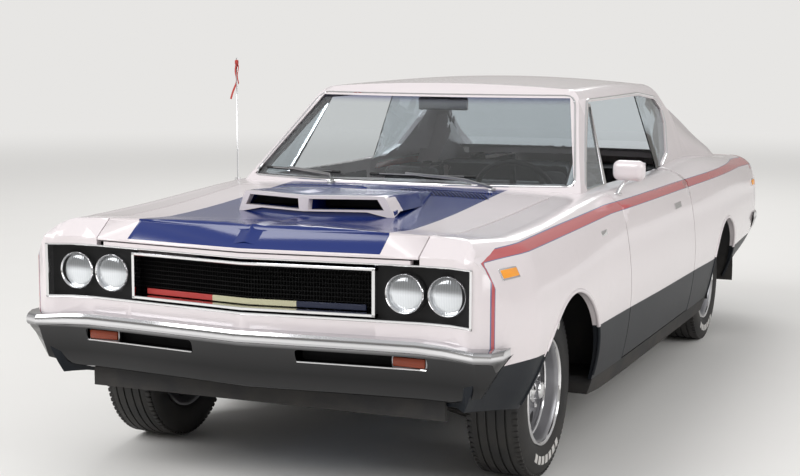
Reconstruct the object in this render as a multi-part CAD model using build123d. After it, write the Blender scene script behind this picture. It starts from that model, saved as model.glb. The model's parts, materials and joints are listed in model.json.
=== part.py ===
"""Two-door hardtop muscle car: body shell, opening panels, cabin, running gear and wheels.

Frame: millimetres, +Z up, the nose points along -Y, the car's own left side is +X.
The origin is on the ground, below the middle of the car's length.
"""
import os
from collections import namedtuple
from math import cos, hypot, radians, sin

from build123d import *

# Overall sizes
LENGTH = 5055.0            # bumper face to bumper face
BODY_HALF = 978.0          # half of the greatest body width
WHEELBASE = 2896.0
FRONT_OVERHANG = 915.5     # front bumper face to front axle
ROOF_Z = 1412.0
BELT_Z = 990.0             # top of the doors
SILL_Z = 215.0             # underside of the body sides
WALL = 30.0                # depth of the outer panels, flanges included
SHUT = 6.0                 # gap round doors and lids
TOUCH = 0.3                # clearance between pieces that only rest together

# Lengthwise places
BUMPER_FRONT_Y = -LENGTH / 2
BUMPER_REAR_Y = LENGTH / 2
FRONT_AXLE_Y = BUMPER_FRONT_Y + FRONT_OVERHANG
REAR_AXLE_Y = FRONT_AXLE_Y + WHEELBASE
NOSE_Y = BUMPER_FRONT_Y + 82      # middle of the grille opening
TAIL_Y = BUMPER_REAR_Y - 72       # middle of the rear panel
HOOD_REAR_Y = FRONT_AXLE_Y + 502
DOOR_FRONT_Y = FRONT_AXLE_Y + 812
DOOR_LENGTH = 1255.0
DOOR_REAR_Y = DOOR_FRONT_Y + DOOR_LENGTH
BACKLIGHT_FOOT_Y = REAR_AXLE_Y + 276
TRUNK_FRONT_Y = BACKLIGHT_FOOT_Y + 30

# Nose and tail in plan: distance from the middle line and setback from the tip
NOSE_PLAN = ((0, 0), (490, 118), (860, 135), (925, 165), (965, 260), (1150, 260))
TAIL_PLAN = ((0, 0), (600, 15), (860, 50), (930, 110), (965, 220), (1150, 220))
LIP_Z = 872.0              # lower edge of the hood's sloped front band
LIP_RISE = 66.0
LIP_DEPTH = 85.0
VALANCE_Z = 605.0          # bottom of the upright front face
DECK_EDGE_Z = 868.0        # where the trunk's rear edge turns down

# Hood and trunk lid
HOOD_FRONT_HALF = 640.0
HOOD_REAR_HALF = 700.0
TRUNK_HALF = 640.0
DECK_DEPTH = 60.0          # reach of the deck panel ahead of the rear window's foot
SKIN = 24.0                # depth of hood and trunk lid

# Doors
DOOR_INNER_X = 765.0
DOOR_FLOOR_Z = 300.0
DOOR_SWEEP_SLOPE = 0.12    # the rear edge leans in so that its inner corner swings clear

# Hinges: curved straps that slide in slots about each hinge axis
STRAP_THICK = 10.0
STRAP_WIDE = 36.0
STRAP_CLEAR = 0.5
DOOR_HINGE_Z = (470.0, 760.0)
DOOR_STRAP_R = 150.0
DOOR_STRAP_SPAN = (108.0, 195.0)   # degrees from +X, seen from above
LID_STRAP_R = 90.0
HOOD_HINGE = (HOOD_REAR_Y, 1012.0)
HOOD_STRAP_SPAN = (196.0, 290.0)   # degrees from +Y towards +Z
TRUNK_HINGE = (TRUNK_FRONT_Y + SHUT, 1004.0)
TRUNK_STRAP_SPAN = (-116.0, -18.0)
HOOD_STRAP_X = 625.0
TRUNK_STRAP_X = 585.0
BRACKET_TOP_Z = 945.0

# Windows
SHIELD_FOOT_Z = 1000.0
SHIELD_FOOT_Y = FRONT_AXLE_Y + 552
SHIELD_RUN = 560.0         # horizontal run of the windshield up to the roof
SHIELD_RISE = 385.0
SHIELD_RADIUS = 3300.0
BACKLIGHT_FOOT_Z = 990.0
BACKLIGHT_RUN = 640.0
BACKLIGHT_RISE = 387.0
BACKLIGHT_RADIUS = 9000.0
PILLAR_WALL = 35.0
GLASS = 5.0
GLASS_INSET = 7.0

# Wheels
TYRE_R = 322.0
TYRE_WIDTH = 216.0
RIM_R = 200.0
FRONT_TRACK_HALF = 758.0
REAR_TRACK_HALF = 762.0
FRONT_ARCH_R = 372.0
REAR_ARCH_R = 335.0
REAR_ARCH_UP = 12.0        # the rear arch's centre stands this far above the hub
SPINDLE_R = 19.5
SPINDLE_CLEARANCE = 0.5
KINGPIN_X = 700.0
KINGPIN_R = 12.0

# Cabin
CABIN_HALF = DOOR_INNER_X - SHUT
FLOOR_Z = SILL_Z + 12
FLOOR_THICK = 18.0
FIREWALL_Y = FRONT_AXLE_Y + 640
WHEEL_AXIS_TILT = 22.0     # steering column, degrees from level
STEERING_X = 370.0
STEERING_R = 190.0

# Nose, lamps and bumpers
BUMPER_PLAN = ((0, 0), (470, 112), (850, 138), (925, 185), (958, 290), (1000, 300))
REAR_BUMPER_PLAN = ((0, 0), (600, 12), (850, 45), (925, 105), (955, 220), (1000, 230))
BUMPER_DEPTH = 95.0
BUMPER_TOP_Z = 606.0
BUMPER_LOW_Z = 392.0
BUMPER_HALF = 955.0
PLATE_Z = 505.0
PLATE_HOLE_PITCH = 178.0
PLATE_HOLE_R = 3.5
GRILLE_HALF = 482.0
GRILLE_LOW_Z = 668.0
GRILLE_HIGH_Z = 832.0
SLAT_COUNT = 9
GRILLE_POST_STEP = 120.0
LAMP_X = (580.0, 738.0)
LAMP_Z = 756.0
LAMP_R = 74.0
LENS_R = 62.0
BADGE_PROUD = 5.0          # lamps and handles that stand out of the side panels

# Scoop on the hood
SCOOP_LIP_Y = FRONT_AXLE_Y - 172
SCOOP_LENGTH = 600.0
SCOOP_HALF = 352.0
SCOOP_TOP_Z = 1018.0

PARTS = {}


def keep(name, shape):
    """Store the solids of one piece under its name."""
    PARTS[name] = shape


def both_sides(shape):
    """A piece of the left side together with its mirror image."""
    return Compound(children=[shape, mirror(shape, about=Plane.YZ)])


def block(x0, x1, y0, y1, z0, z1):
    """A box between two corners."""
    size = (x1 - x0, y1 - y0, z1 - z0)
    middle = ((x0 + x1) / 2, (y0 + y1) / 2, (z0 + z1) / 2)
    return Pos(*middle) * Box(*size)


def side_prism(points, x0, x1):
    """An outline in (y, z) pushed across the car from x0 to x1."""
    face = make_face(Polyline(*[(x0, y, z) for y, z in points], close=True))
    return extrude(face, amount=x1 - x0, dir=(1, 0, 0))


def plan_prism(points, z0, z1):
    """An outline in (x, y) raised from z0 to z1."""
    face = make_face(Polyline(*[(x, y, z0) for x, y in points], close=True))
    return extrude(face, amount=z1 - z0, dir=(0, 0, 1))


def front_prism(points, y0, y1):
    """An outline in (x, z) pushed along the car from y0 to y1."""
    face = make_face(Polyline(*[(x, y0, z) for x, z in points], close=True))
    return extrude(face, amount=y1 - y0, dir=(0, 1, 0))


def rod(start, end, radius):
    """A round bar between two points."""
    a, b = Vector(*start), Vector(*end)
    axis = b - a
    return Plane(origin=a, z_dir=axis.normalized()) * Cylinder(
        radius, axis.length, align=(Align.CENTER, Align.CENTER, Align.MIN))


# Lower body: each station gives the right half of a cross-section. Widths are measured in
# from BODY_HALF, sill_up above SILL_Z and the drops below BELT_Z.
Station = namedtuple(
    "Station", "y sill_in sill_up side_in shoulder_in shoulder_drop deck_in deck_drop crown")
SIDE_Z = 650.0
STATIONS = (
    Station(NOSE_Y - 80, 135, 190, 45, 78, 128, 180, 72, 16),
    Station(FRONT_AXLE_Y - 540, 112, 150, 25, 68, 106, 178, 52, 17),
    Station(FRONT_AXLE_Y, 82, 60, 5, 60, 88, 182, 40, 18),
    Station(HOOD_REAR_Y + 110, 68, 0, 8, 54, 68, 188, 6, 24),
    Station(DOOR_FRONT_Y + 600, 65, 0, 4, 52, 62, 190, 0, 20),
    Station(DOOR_REAR_Y + 20, 65, 0, 7, 56, 58, 192, -2, 18),
    Station(REAR_AXLE_Y - 260, 70, 10, 3, 54, 44, 192, -16, 14),
    Station(REAR_AXLE_Y + 246, 85, 70, 8, 60, 58, 198, 6, 16),
    Station(REAR_AXLE_Y + 826, 110, 150, 25, 74, 92, 204, 46, 16),
    Station(TAIL_Y + 90, 140, 190, 52, 102, 132, 232, 84, 14),
)


def body_section(st, inset):
    """Closed cross-section of the lower body, drawn in by inset."""
    sill_w = BODY_HALF - st.sill_in - inset
    side_w = BODY_HALF - st.side_in - inset
    shoulder_w = BODY_HALF - st.shoulder_in - inset
    deck_w = BODY_HALF - st.deck_in - inset * 0.4
    sill_z = SILL_Z + st.sill_up - (2 * WALL if inset else 0)
    shoulder_z = BELT_Z - st.shoulder_drop - inset * 0.45
    deck_z = BELT_Z - st.deck_drop - inset
    bend = ((shoulder_w + deck_w) / 2 + 16, (shoulder_z + deck_z) / 2 + 12)

    def at(x, z):
        return (x, st.y, z)

    edges = [
        Line(at(-sill_w, sill_z), at(sill_w, sill_z)),
        ThreePointArc(at(sill_w, sill_z), at(side_w, SIDE_Z), at(shoulder_w, shoulder_z)),
        ThreePointArc(at(shoulder_w, shoulder_z), at(*bend), at(deck_w, deck_z)),
        ThreePointArc(at(deck_w, deck_z), at(0, deck_z + st.crown), at(-deck_w, deck_z)),
        ThreePointArc(at(-deck_w, deck_z), at(-bend[0], bend[1]), at(-shoulder_w, shoulder_z)),
        ThreePointArc(at(-shoulder_w, shoulder_z), at(-side_w, SIDE_Z), at(-sill_w, sill_z)),
    ]
    return make_face(Wire(edges))


def end_form(plan, profile, tip_y, sense):
    """Solid behind an end face: profile points (setback, z) repeated along the plan."""
    faces = []
    rows = [(-x, back) for x, back in reversed(plan[1:])] + list(plan)
    for x, back in rows:
        points = [(x, tip_y + sense * (back + dy), z) for dy, z in profile]
        faces.append(make_face(Polyline(*points, close=True)))
    return loft(faces, ruled=True)


def nose_form(inset):
    """Everything behind the V-shaped front face and its sloped hood band."""
    far = LENGTH * 1.2
    slope_in = inset * 0.3
    profile = ((far, 0), (70 + inset, 0), (inset, VALANCE_Z), (inset, LIP_Z - slope_in),
               (LIP_DEPTH + inset, LIP_Z + LIP_RISE - slope_in), (LIP_DEPTH + inset, ROOF_Z),
               (far, ROOF_Z))
    return end_form(NOSE_PLAN, profile, NOSE_Y, 1)


def tail_form(inset):
    """Everything ahead of the tail's rear face."""
    far = LENGTH * 1.2
    profile = ((far, 0), (80 + inset, 0), (12 + inset, VALANCE_Z), (inset, DECK_EDGE_Z),
               (60 + inset, DECK_EDGE_Z + 46), (60 + inset, ROOF_Z), (far, ROOF_Z))
    return end_form(TAIL_PLAN, profile, TAIL_Y, -1)


def body_form(inset):
    """The whole lower body as one closed form."""
    form = loft([body_section(st, inset) for st in STATIONS])
    return form & nose_form(inset) & tail_form(inset)


# Roof and windows: y, half width at z = BELT_Z - 90, eave half width, eave z, roof edge
# half width, roof edge z, crown z
Bow = namedtuple("Bow", "y foot_half eave_half eave_drop edge_half edge_drop crown_drop")
BOWS = (
    Bow(SHIELD_FOOT_Y - 160, 818, 640, 92, 560, 46, 30),
    Bow(SHIELD_FOOT_Y + 640, 814, 640, 86, 560, 38, 16),
    Bow(SHIELD_FOOT_Y + 1200, 808, 652, 76, 572, 30, 0),
    Bow(SHIELD_FOOT_Y + 1800, 802, 648, 84, 566, 38, 10),
    Bow(BACKLIGHT_FOOT_Y + 160, 790, 630, 120, 550, 74, 50),
)
CABIN_FOOT_Z = BELT_Z - 90


def bow_section(bow, inset):
    """Closed cross-section of the roof and side windows, drawn in by inset."""
    foot = bow.foot_half - inset
    eave = (bow.eave_half - inset, ROOF_Z - bow.eave_drop - inset * 0.4)
    edge = (bow.edge_half - inset * 0.4, ROOF_Z - bow.edge_drop - inset)
    bend = ((eave[0] + edge[0]) / 2 + 12, (eave[1] + edge[1]) / 2 + 9)
    crown = ROOF_Z - bow.crown_drop - inset

    def at(x, z):
        return (x, bow.y, z)

    edges = [
        Line(at(-foot, CABIN_FOOT_Z), at(foot, CABIN_FOOT_Z)),
        Line(at(foot, CABIN_FOOT_Z), at(*eave)),
        ThreePointArc(at(*eave), at(*bend), at(*edge)),
        ThreePointArc(at(*edge), at(0, crown), at(-edge[0], edge[1])),
        ThreePointArc(at(-edge[0], edge[1]), at(-bend[0], bend[1]), at(-eave[0], eave[1])),
        Line(at(-eave[0], eave[1]), at(-foot, CABIN_FOOT_Z)),
    ]
    return make_face(Wire(edges))


def glass_drum(foot_y, foot_z, run, rise, radius, inset):
    """Round bar whose skin is a curved window, leaning from its foot to the roof."""
    length = hypot(run, rise)
    along = Vector(0, run / length, rise / length)
    outward = Vector(0, -rise / length, run / length) if run > 0 else Vector(
        0, rise / length, -run / length)
    axis_point = Vector(0, foot_y, foot_z) - outward * radius
    place = Plane(origin=axis_point, x_dir=(1, 0, 0), z_dir=along)
    return place * Cylinder(radius - inset, LENGTH * 2)


def cabin_form(inset):
    """Roof, pillars and windows as one closed form."""
    form = loft([bow_section(bow, inset) for bow in BOWS])
    front = glass_drum(SHIELD_FOOT_Y, SHIELD_FOOT_Z, SHIELD_RUN, SHIELD_RISE, SHIELD_RADIUS, inset)
    rear = glass_drum(BACKLIGHT_FOOT_Y, BACKLIGHT_FOOT_Z, -BACKLIGHT_RUN, BACKLIGHT_RISE,
                      BACKLIGHT_RADIUS, inset)
    return form & front & rear


# Side opening in (y, z), from the front of the vent window round to the belt
PILLAR_FOOT_Y = DOOR_FRONT_Y - SHUT
SIDE_TOP_Z = ROOF_Z - 88
SIDE_OPENING = (
    (PILLAR_FOOT_Y, BELT_Z - 60),
    (PILLAR_FOOT_Y, BELT_Z + 14),
    (PILLAR_FOOT_Y + 446, SIDE_TOP_Z - 4),
    (DOOR_REAR_Y + 60, SIDE_TOP_Z),
    (DOOR_REAR_Y + 400, SIDE_TOP_Z - 28),
    (DOOR_REAR_Y + 490, SIDE_TOP_Z - 80),
    (DOOR_REAR_Y + 462, BELT_Z + 190),
    (DOOR_REAR_Y + 290, BELT_Z + 58),
    (DOOR_REAR_Y + 120, BELT_Z + 16),
    (DOOR_REAR_Y + 8, BELT_Z - 60),
)
SHIELD_OPENING = ((-742, SHIELD_FOOT_Z + 14), (742, SHIELD_FOOT_Z + 14),
                  (596, ROOF_Z - 74), (-596, ROOF_Z - 74))
BACKLIGHT_OPENING = ((-640, BACKLIGHT_FOOT_Z + 26), (640, BACKLIGHT_FOOT_Z + 26),
                     (540, ROOF_Z - 66), (-540, ROOF_Z - 66))


def hood_outline(gap):
    """Plan outline of the hood, drawn in by gap."""
    front, rear = HOOD_FRONT_HALF - gap, HOOD_REAR_HALF - gap
    y0, y1 = NOSE_Y - 200, HOOD_REAR_Y - gap
    return ((-front, y0), (front, y0), (rear, y1), (-rear, y1))


def trunk_outline(gap):
    """Plan outline of the trunk lid, drawn in by gap."""
    half = TRUNK_HALF - gap
    y0 = TRUNK_FRONT_Y + gap
    return ((-half, y0), (half, y0), (half - 30, TAIL_Y + 200), (-half + 30, TAIL_Y + 200))


def door_outline(gap):
    """Side outline of a door, drawn in by gap."""
    return ((DOOR_FRONT_Y + gap, DOOR_FLOOR_Z + gap), (DOOR_REAR_Y - gap, DOOR_FLOOR_Z + gap),
            (DOOR_REAR_Y - gap, ROOF_Z), (DOOR_FRONT_Y + gap, ROOF_Z))


def arch(axle_y, radius, up):
    """Round cut for a wheel arch on the left side."""
    place = Pos(DOOR_INNER_X, axle_y, TYRE_R + up) * Rot(0, 90, 0)
    return place * Cylinder(radius, BODY_HALF, align=(Align.CENTER, Align.CENTER, Align.CENTER))


FRONT_FACE_TOP_Z = LIP_Z - 32
FRONT_FACE_LOW_Z = LIP_Z - 222
FACE_HALF = 905.0
BODY = body_form(0)
BODY_INNER = body_form(WALL)
SKIN_INNER = body_form(SKIN)
CABIN = cabin_form(0)
CABIN_INNER = cabin_form(PILLAR_WALL)
SHELL = BODY - BODY_INNER
SKIN_SHELL = BODY - SKIN_INNER
BADGE_SHELL = body_form(-BADGE_PROUD) - BODY


def front_face_window(gap):
    """Wide window in the nose that holds the lamps and the grille."""
    half = FACE_HALF + gap
    low, high = FRONT_FACE_LOW_Z - gap, FRONT_FACE_TOP_Z + gap
    return front_prism(((-half, low), (half, low), (half, high), (-half, high)),
                       NOSE_Y - 60, NOSE_Y + 330)


def make_front_fenders():
    """Both front fenders with their wheel arches and brows over the lamps."""
    half = SHELL & block(0, BODY_HALF * 1.2, NOSE_Y - 100, DOOR_FRONT_Y - SHUT, 0, ROOF_Z)
    half -= plan_prism(hood_outline(-SHUT), BELT_Z - 300, ROOF_Z)
    half -= block(-1, HOOD_REAR_HALF, HOOD_REAR_Y - SHUT, 0, BELT_Z - 120, ROOF_Z)
    half -= block(-1, HOOD_FRONT_HALF - 20, NOSE_Y - 100, FRONT_AXLE_Y, 0, ROOF_Z)
    half -= block(-1, FACE_HALF - 200, NOSE_Y - 100, NOSE_Y + 400, 0, FRONT_FACE_LOW_Z)
    half -= front_face_window(0)
    half -= arch(FRONT_AXLE_Y, FRONT_ARCH_R, 0)
    half -= block(0, BODY_HALF * 1.2, FRONT_AXLE_Y, DOOR_FRONT_Y, 0, DOOR_FLOOR_Z - SHUT)
    keep("front_fenders", both_sides(half))


def make_hood():
    """Rear-hinged hood plate."""
    keep("hood", SKIN_SHELL & plan_prism(hood_outline(0), LIP_Z - 10, ROOF_Z))


def make_trunk_lid():
    """Trunk lid, with its short upright rear edge."""
    keep("trunk_lid", SKIN_SHELL & plan_prism(trunk_outline(0), DECK_EDGE_Z - 60, ROOF_Z))


def strap(place, radius, span, clear):
    """Curved hinge arm about the z axis of place; clear widens it into its slot."""
    r0, r1 = radius - STRAP_THICK / 2 - clear, radius + STRAP_THICK / 2 + clear
    half = STRAP_WIDE / 2 + clear
    face = make_face(Polyline((r0, 0, -half), (r1, 0, -half), (r1, 0, half), (r0, 0, half),
                              close=True))
    turn = span[1] - span[0]
    return place * Rot(0, 0, span[0]) * revolve(face, Axis.Z, turn)


def door_straps(span, clear):
    """Both hinge straps of the left door."""
    places = [Plane(origin=(BODY_HALF, DOOR_FRONT_Y, z)) for z in DOOR_HINGE_Z]
    return [strap(place, DOOR_STRAP_R, span, clear) for place in places]


def lid_strap(x, hinge, span, clear):
    """Hinge strap of the hood or the trunk lid on the left side."""
    place = Plane(origin=(x, *hinge), x_dir=(0, 1, 0), z_dir=(1, 0, 0))
    return strap(place, LID_STRAP_R, span, clear)


def widened(span, low, high):
    """A strap's span, longer by low and high degrees at its ends."""
    return (span[0] - low, span[1] + high)


def make_hinges():
    """Hinge straps of the doors, the hood and the trunk lid."""
    ahead = block(0, BODY_HALF, DOOR_FRONT_Y - SHUT, DOOR_REAR_Y, 0, ROOF_Z)
    halves = [part & ahead for part in door_straps(DOOR_STRAP_SPAN, 0)]
    keep("door_hinges", both_sides(Compound(children=halves)))
    arm = lid_strap(HOOD_STRAP_X, HOOD_HINGE, HOOD_STRAP_SPAN, 0) & SKIN_INNER
    keep("hood_hinges", both_sides(arm))
    arm = lid_strap(TRUNK_STRAP_X, TRUNK_HINGE, TRUNK_STRAP_SPAN, 0) & SKIN_INNER
    keep("trunk_hinges", both_sides(arm))


def make_doors():
    """Doors as deep as the whole side wall, hinged at their front edge."""
    prism = side_prism(door_outline(0), DOOR_INNER_X, BODY_HALF * 1.2)
    door = BODY & prism
    slant = DOOR_SWEEP_SLOPE * (BODY_HALF - DOOR_INNER_X)
    wedge = plan_prism(((BODY_HALF, DOOR_REAR_Y), (DOOR_INNER_X - 5, DOOR_REAR_Y - slant),
                        (DOOR_INNER_X - 5, DOOR_REAR_Y + 50), (BODY_HALF, DOOR_REAR_Y + 50)),
                       0, ROOF_Z)
    door -= wedge
    for slot in door_straps(widened(DOOR_STRAP_SPAN, 3, 0), STRAP_CLEAR):
        door -= slot
    keep("door_left", door)
    keep("door_right", mirror(door, about=Plane.YZ))


def make_cowl():
    """Panel between the hood and the windshield, with the hinge pillars at its ends."""
    plate = SHELL & block(-HOOD_REAR_HALF + TOUCH, HOOD_REAR_HALF - TOUCH, HOOD_REAR_Y + SHUT,
                          DOOR_FRONT_Y - 60, BELT_Z - 60, ROOF_Z)
    keep("cowl", plate)


def make_roof():
    """Roof panel with windshield and rear pillars."""
    shell = CABIN - CABIN_INNER - BODY
    shell -= side_prism(SIDE_OPENING, -BODY_HALF, BODY_HALF)
    shell -= front_prism(SHIELD_OPENING, SHIELD_FOOT_Y - 200, SHIELD_FOOT_Y + 900)
    shell -= front_prism(BACKLIGHT_OPENING, BACKLIGHT_FOOT_Y - 900, BACKLIGHT_FOOT_Y + 300)
    keep("roof", shell)


def make_glass():
    """Windshield, rear window and the fixed rear side windows."""
    pane = cabin_form(GLASS_INSET) - cabin_form(GLASS_INSET + GLASS) - BODY
    keep("windshield", pane & front_prism(SHIELD_OPENING, SHIELD_FOOT_Y - 200, SHIELD_FOOT_Y + 900))
    keep("rear_glass", pane & front_prism(BACKLIGHT_OPENING, BACKLIGHT_FOOT_Y - 900,
                                          BACKLIGHT_FOOT_Y + 300))
    quarter = pane & side_prism(SIDE_OPENING, 643, BODY_HALF)
    quarter &= block(0, BODY_HALF, DOOR_REAR_Y + 14, TAIL_Y, 0, SIDE_TOP_Z - 1)
    keep("quarter_glass", both_sides(quarter))


def make_quarter_panels():
    """Rear quarters with their arches, jambs and deck flanks."""
    side = SHELL & block(0, BODY_HALF * 1.2, DOOR_REAR_Y + SHUT, TAIL_Y + 100, 0, ROOF_Z)
    jamb = BODY & block(DOOR_INNER_X, BODY_HALF * 1.2, DOOR_REAR_Y + SHUT,
                        DOOR_REAR_Y + 110, DOOR_FLOOR_Z - SHUT, ROOF_Z)
    side += jamb
    side -= CABIN
    side -= block(-1, TRUNK_HALF - 40, DOOR_REAR_Y - 10, BACKLIGHT_FOOT_Y, 0, ROOF_Z)
    side -= plan_prism(trunk_outline(-SHUT), DECK_EDGE_Z - 60 - SHUT, ROOF_Z)
    side -= block(-1, TRUNK_HALF - 40, BACKLIGHT_FOOT_Y - 30, TAIL_Y + 200, 0, ROOF_Z)
    side -= arch(REAR_AXLE_Y, REAR_ARCH_R, REAR_ARCH_UP)
    side -= block(0, BODY_HALF * 1.2, DOOR_REAR_Y, REAR_AXLE_Y, 0, DOOR_FLOOR_Z - SHUT)
    side -= tail_lamp_box()
    keep("quarter_panels", both_sides(side))


def strip(plan, tip_y, sense, depth0, depth1, z0, z1):
    """Band that follows an end face, between two setbacks and two heights."""
    return end_form(plan, ((depth0, z0), (depth1, z0), (depth1, z1), (depth0, z1)), tip_y, sense)


def nose_strip(depth0, depth1, z0, z1):
    return strip(NOSE_PLAN, NOSE_Y, 1, depth0, depth1, z0, z1)


def window(half, z0, z1):
    """Prism along the car that is as wide as the nose between two heights."""
    return front_prism(((-half, z0), (half, z0), (half, z1), (-half, z1)), NOSE_Y - 60, NOSE_Y + 330)


def plan_setback(plan, x):
    """Setback of an end face at a distance from the middle line."""
    for (x0, b0), (x1, b1) in zip(plan, plan[1:]):
        if x <= x1:
            return b0 + (b1 - b0) * (x - x0) / (x1 - x0)
    return plan[-1][1]


def make_nose_panel():
    """Strip over the grille and the apron below it."""
    header = nose_strip(0, WALL, FRONT_FACE_TOP_Z, LIP_Z - 10 - SHUT) & window(
        HOOD_FRONT_HALF - 20, 0, ROOF_Z)
    apron = nose_strip(0, WALL, BUMPER_LOW_Z + 60, FRONT_FACE_LOW_Z) & BODY & window(
        FACE_HALF - 200, 0, ROOF_Z)
    for cut in plate_holes(PLATE_HOLE_R * 4):
        apron -= cut
    keep("nose_panel", Compound(children=[header, apron]))


def lamp_place(x):
    """Centre of a headlamp's front on the lamp panel."""
    return (x, NOSE_Y + plan_setback(NOSE_PLAN, x) + 22, LAMP_Z)


def make_lamp_panel():
    """Black panel across the nose, open for the grille and the four lamps."""
    panel = nose_strip(30, 54, FRONT_FACE_LOW_Z, FRONT_FACE_TOP_Z) & window(FACE_HALF, 0, ROOF_Z)
    panel -= window(GRILLE_HALF, GRILLE_LOW_Z, GRILLE_HIGH_Z)
    for x in LAMP_X:
        for side in (-1, 1):
            panel -= Pos(side * x, NOSE_Y + 150, LAMP_Z) * Rot(90, 0, 0) * Cylinder(LAMP_R, 300)
    keep("lamp_panel", panel)


def make_grille():
    """Level slats on upright posts, behind the V of the nose."""
    pitch = (GRILLE_HIGH_Z - GRILLE_LOW_Z) / SLAT_COUNT
    grille = nose_strip(74, 80, GRILLE_LOW_Z, GRILLE_HIGH_Z)
    for i in range(SLAT_COUNT):
        z = GRILLE_LOW_Z + pitch * (i + 0.5)
        grille += nose_strip(56, 76, z - 2, z + 2)
    grille &= window(GRILLE_HALF, GRILLE_LOW_Z, GRILLE_HIGH_Z)
    count = int((GRILLE_HALF - 20) / GRILLE_POST_STEP)
    for i in range(-count, count + 1):
        x = i * GRILLE_POST_STEP
        y = NOSE_Y + plan_setback(NOSE_PLAN, abs(x))
        grille += block(x - 2, x + 2, y + 57, y + 76, GRILLE_LOW_Z, GRILLE_HIGH_Z)
    keep("grille", grille)


def make_grille_trim():
    """Bright frames round the grille opening and round the whole lamp panel."""
    inner = nose_strip(6, 55, GRILLE_LOW_Z, GRILLE_HIGH_Z) & window(
        GRILLE_HALF, GRILLE_LOW_Z, GRILLE_HIGH_Z)
    inner -= window(GRILLE_HALF - 11, GRILLE_LOW_Z + 11, GRILLE_HIGH_Z - 11)
    outer = nose_strip(-3, 30, FRONT_FACE_LOW_Z, FRONT_FACE_TOP_Z) & window(FACE_HALF, 0, ROOF_Z)
    outer -= window(FACE_HALF - 9, FRONT_FACE_LOW_Z + 9, FRONT_FACE_TOP_Z - 6)
    keep("grille_trim", Compound(children=[inner, outer]))


def make_headlamps():
    """Four round lamps: a bright rim each, and a domed lens inside it."""
    rim_profile = ((LENS_R, 0), (LAMP_R - 4, -10), (LAMP_R, -4), (LAMP_R, 40), (LENS_R, 40))
    face = make_face(Polyline(*[(r, 0, d) for r, d in rim_profile], close=True))
    rim = revolve(face, Axis.Z)
    outline = Wire([
        ThreePointArc((0, 0, -14), (LENS_R * 0.55, 0, -9), (LENS_R, 0, 4)),
        Line((LENS_R, 0, 4), (LENS_R, 0, 34)),
        Line((LENS_R, 0, 34), (0, 0, 34)),
        Line((0, 0, 34), (0, 0, -14)),
    ])
    lens = revolve(make_face(outline), Axis.Z)
    places = [Pos(*lamp_place(x)) * Rot(-90, 0, 0) for x in LAMP_X]
    keep("headlamp_rims", both_sides(Compound(children=[place * rim for place in places])))
    keep("headlamp_lenses", both_sides(Compound(children=[place * lens for place in places])))


BUMPER_PROFILE = (
    (BUMPER_DEPTH, BUMPER_TOP_Z), (12, BUMPER_TOP_Z), (2, BUMPER_TOP_Z - 8),
    (0, BUMPER_TOP_Z - 22), (6, BUMPER_TOP_Z - 34), (18, BUMPER_TOP_Z - 40),
    (26, BUMPER_TOP_Z - 50), (62, BUMPER_LOW_Z + 8), (72, BUMPER_LOW_Z),
    (BUMPER_DEPTH, BUMPER_LOW_Z),
)


def plate_holes(radius):
    """Holes for the two screws of a number plate, along the whole car."""
    return [Pos(side * PLATE_HOLE_PITCH / 2, 0, PLATE_Z) * Rot(90, 0, 0)
            * Cylinder(radius, LENGTH * 2) for side in (-1, 1)]


def make_bumpers():
    """Bright bumpers that follow the V of the nose and wrap the corners."""
    taper = ((-BUMPER_HALF, BUMPER_TOP_Z), (BUMPER_HALF, BUMPER_TOP_Z),
             (BUMPER_HALF, BUMPER_TOP_Z - 40), (BUMPER_HALF - 100, BUMPER_LOW_Z),
             (-BUMPER_HALF + 100, BUMPER_LOW_Z), (-BUMPER_HALF, BUMPER_TOP_Z - 40))
    front = end_form(BUMPER_PLAN, BUMPER_PROFILE, BUMPER_FRONT_Y, 1)
    front &= front_prism(taper, BUMPER_FRONT_Y - 10, BUMPER_FRONT_Y + 500)
    front -= BODY
    slots = [block(side * 430 - 190, side * 430 + 190, BUMPER_FRONT_Y, BUMPER_FRONT_Y + 400,
                   BUMPER_TOP_Z - 88, BUMPER_TOP_Z - 54) for side in (-1, 1)]
    for cut in slots + plate_holes(PLATE_HOLE_R):
        front -= cut
    keep("front_bumper", front)
    rear = end_form(REAR_BUMPER_PLAN, BUMPER_PROFILE, BUMPER_REAR_Y, -1)
    rear &= front_prism(taper, BUMPER_REAR_Y - 500, BUMPER_REAR_Y + 10)
    rear -= BODY
    for cut in plate_holes(PLATE_HOLE_R):
        rear -= cut
    keep("rear_bumper", rear)


MARKERS = ((FRONT_AXLE_Y - 670, 806.0), (REAR_AXLE_Y + 900, 770.0))
MARKER_LENGTH = 96.0
MARKER_HEIGHT = 34.0


def make_marker_lamps():
    """Small lamps on the sides of the nose and the tail."""
    lamps = []
    for y, z in MARKERS:
        lamps += (BADGE_SHELL & block(BODY_HALF / 2, BODY_HALF * 1.1, y, y + MARKER_LENGTH,
                                      z, z + MARKER_HEIGHT)).solids()
    keep("marker_lamps", both_sides(Compound(children=lamps)))


LAMP_BAND = (TAIL_Y - 150, TAIL_Y + 60, 676.0, 792.0)
TAIL_LAMP_INNER = 250.0


def tail_lamp_box():
    """Space of a tail lamp on the left side."""
    y0, y1, z0, z1 = LAMP_BAND
    return block(TAIL_LAMP_INNER, BODY_HALF * 1.2, y0, y1, z0, z1)


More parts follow.
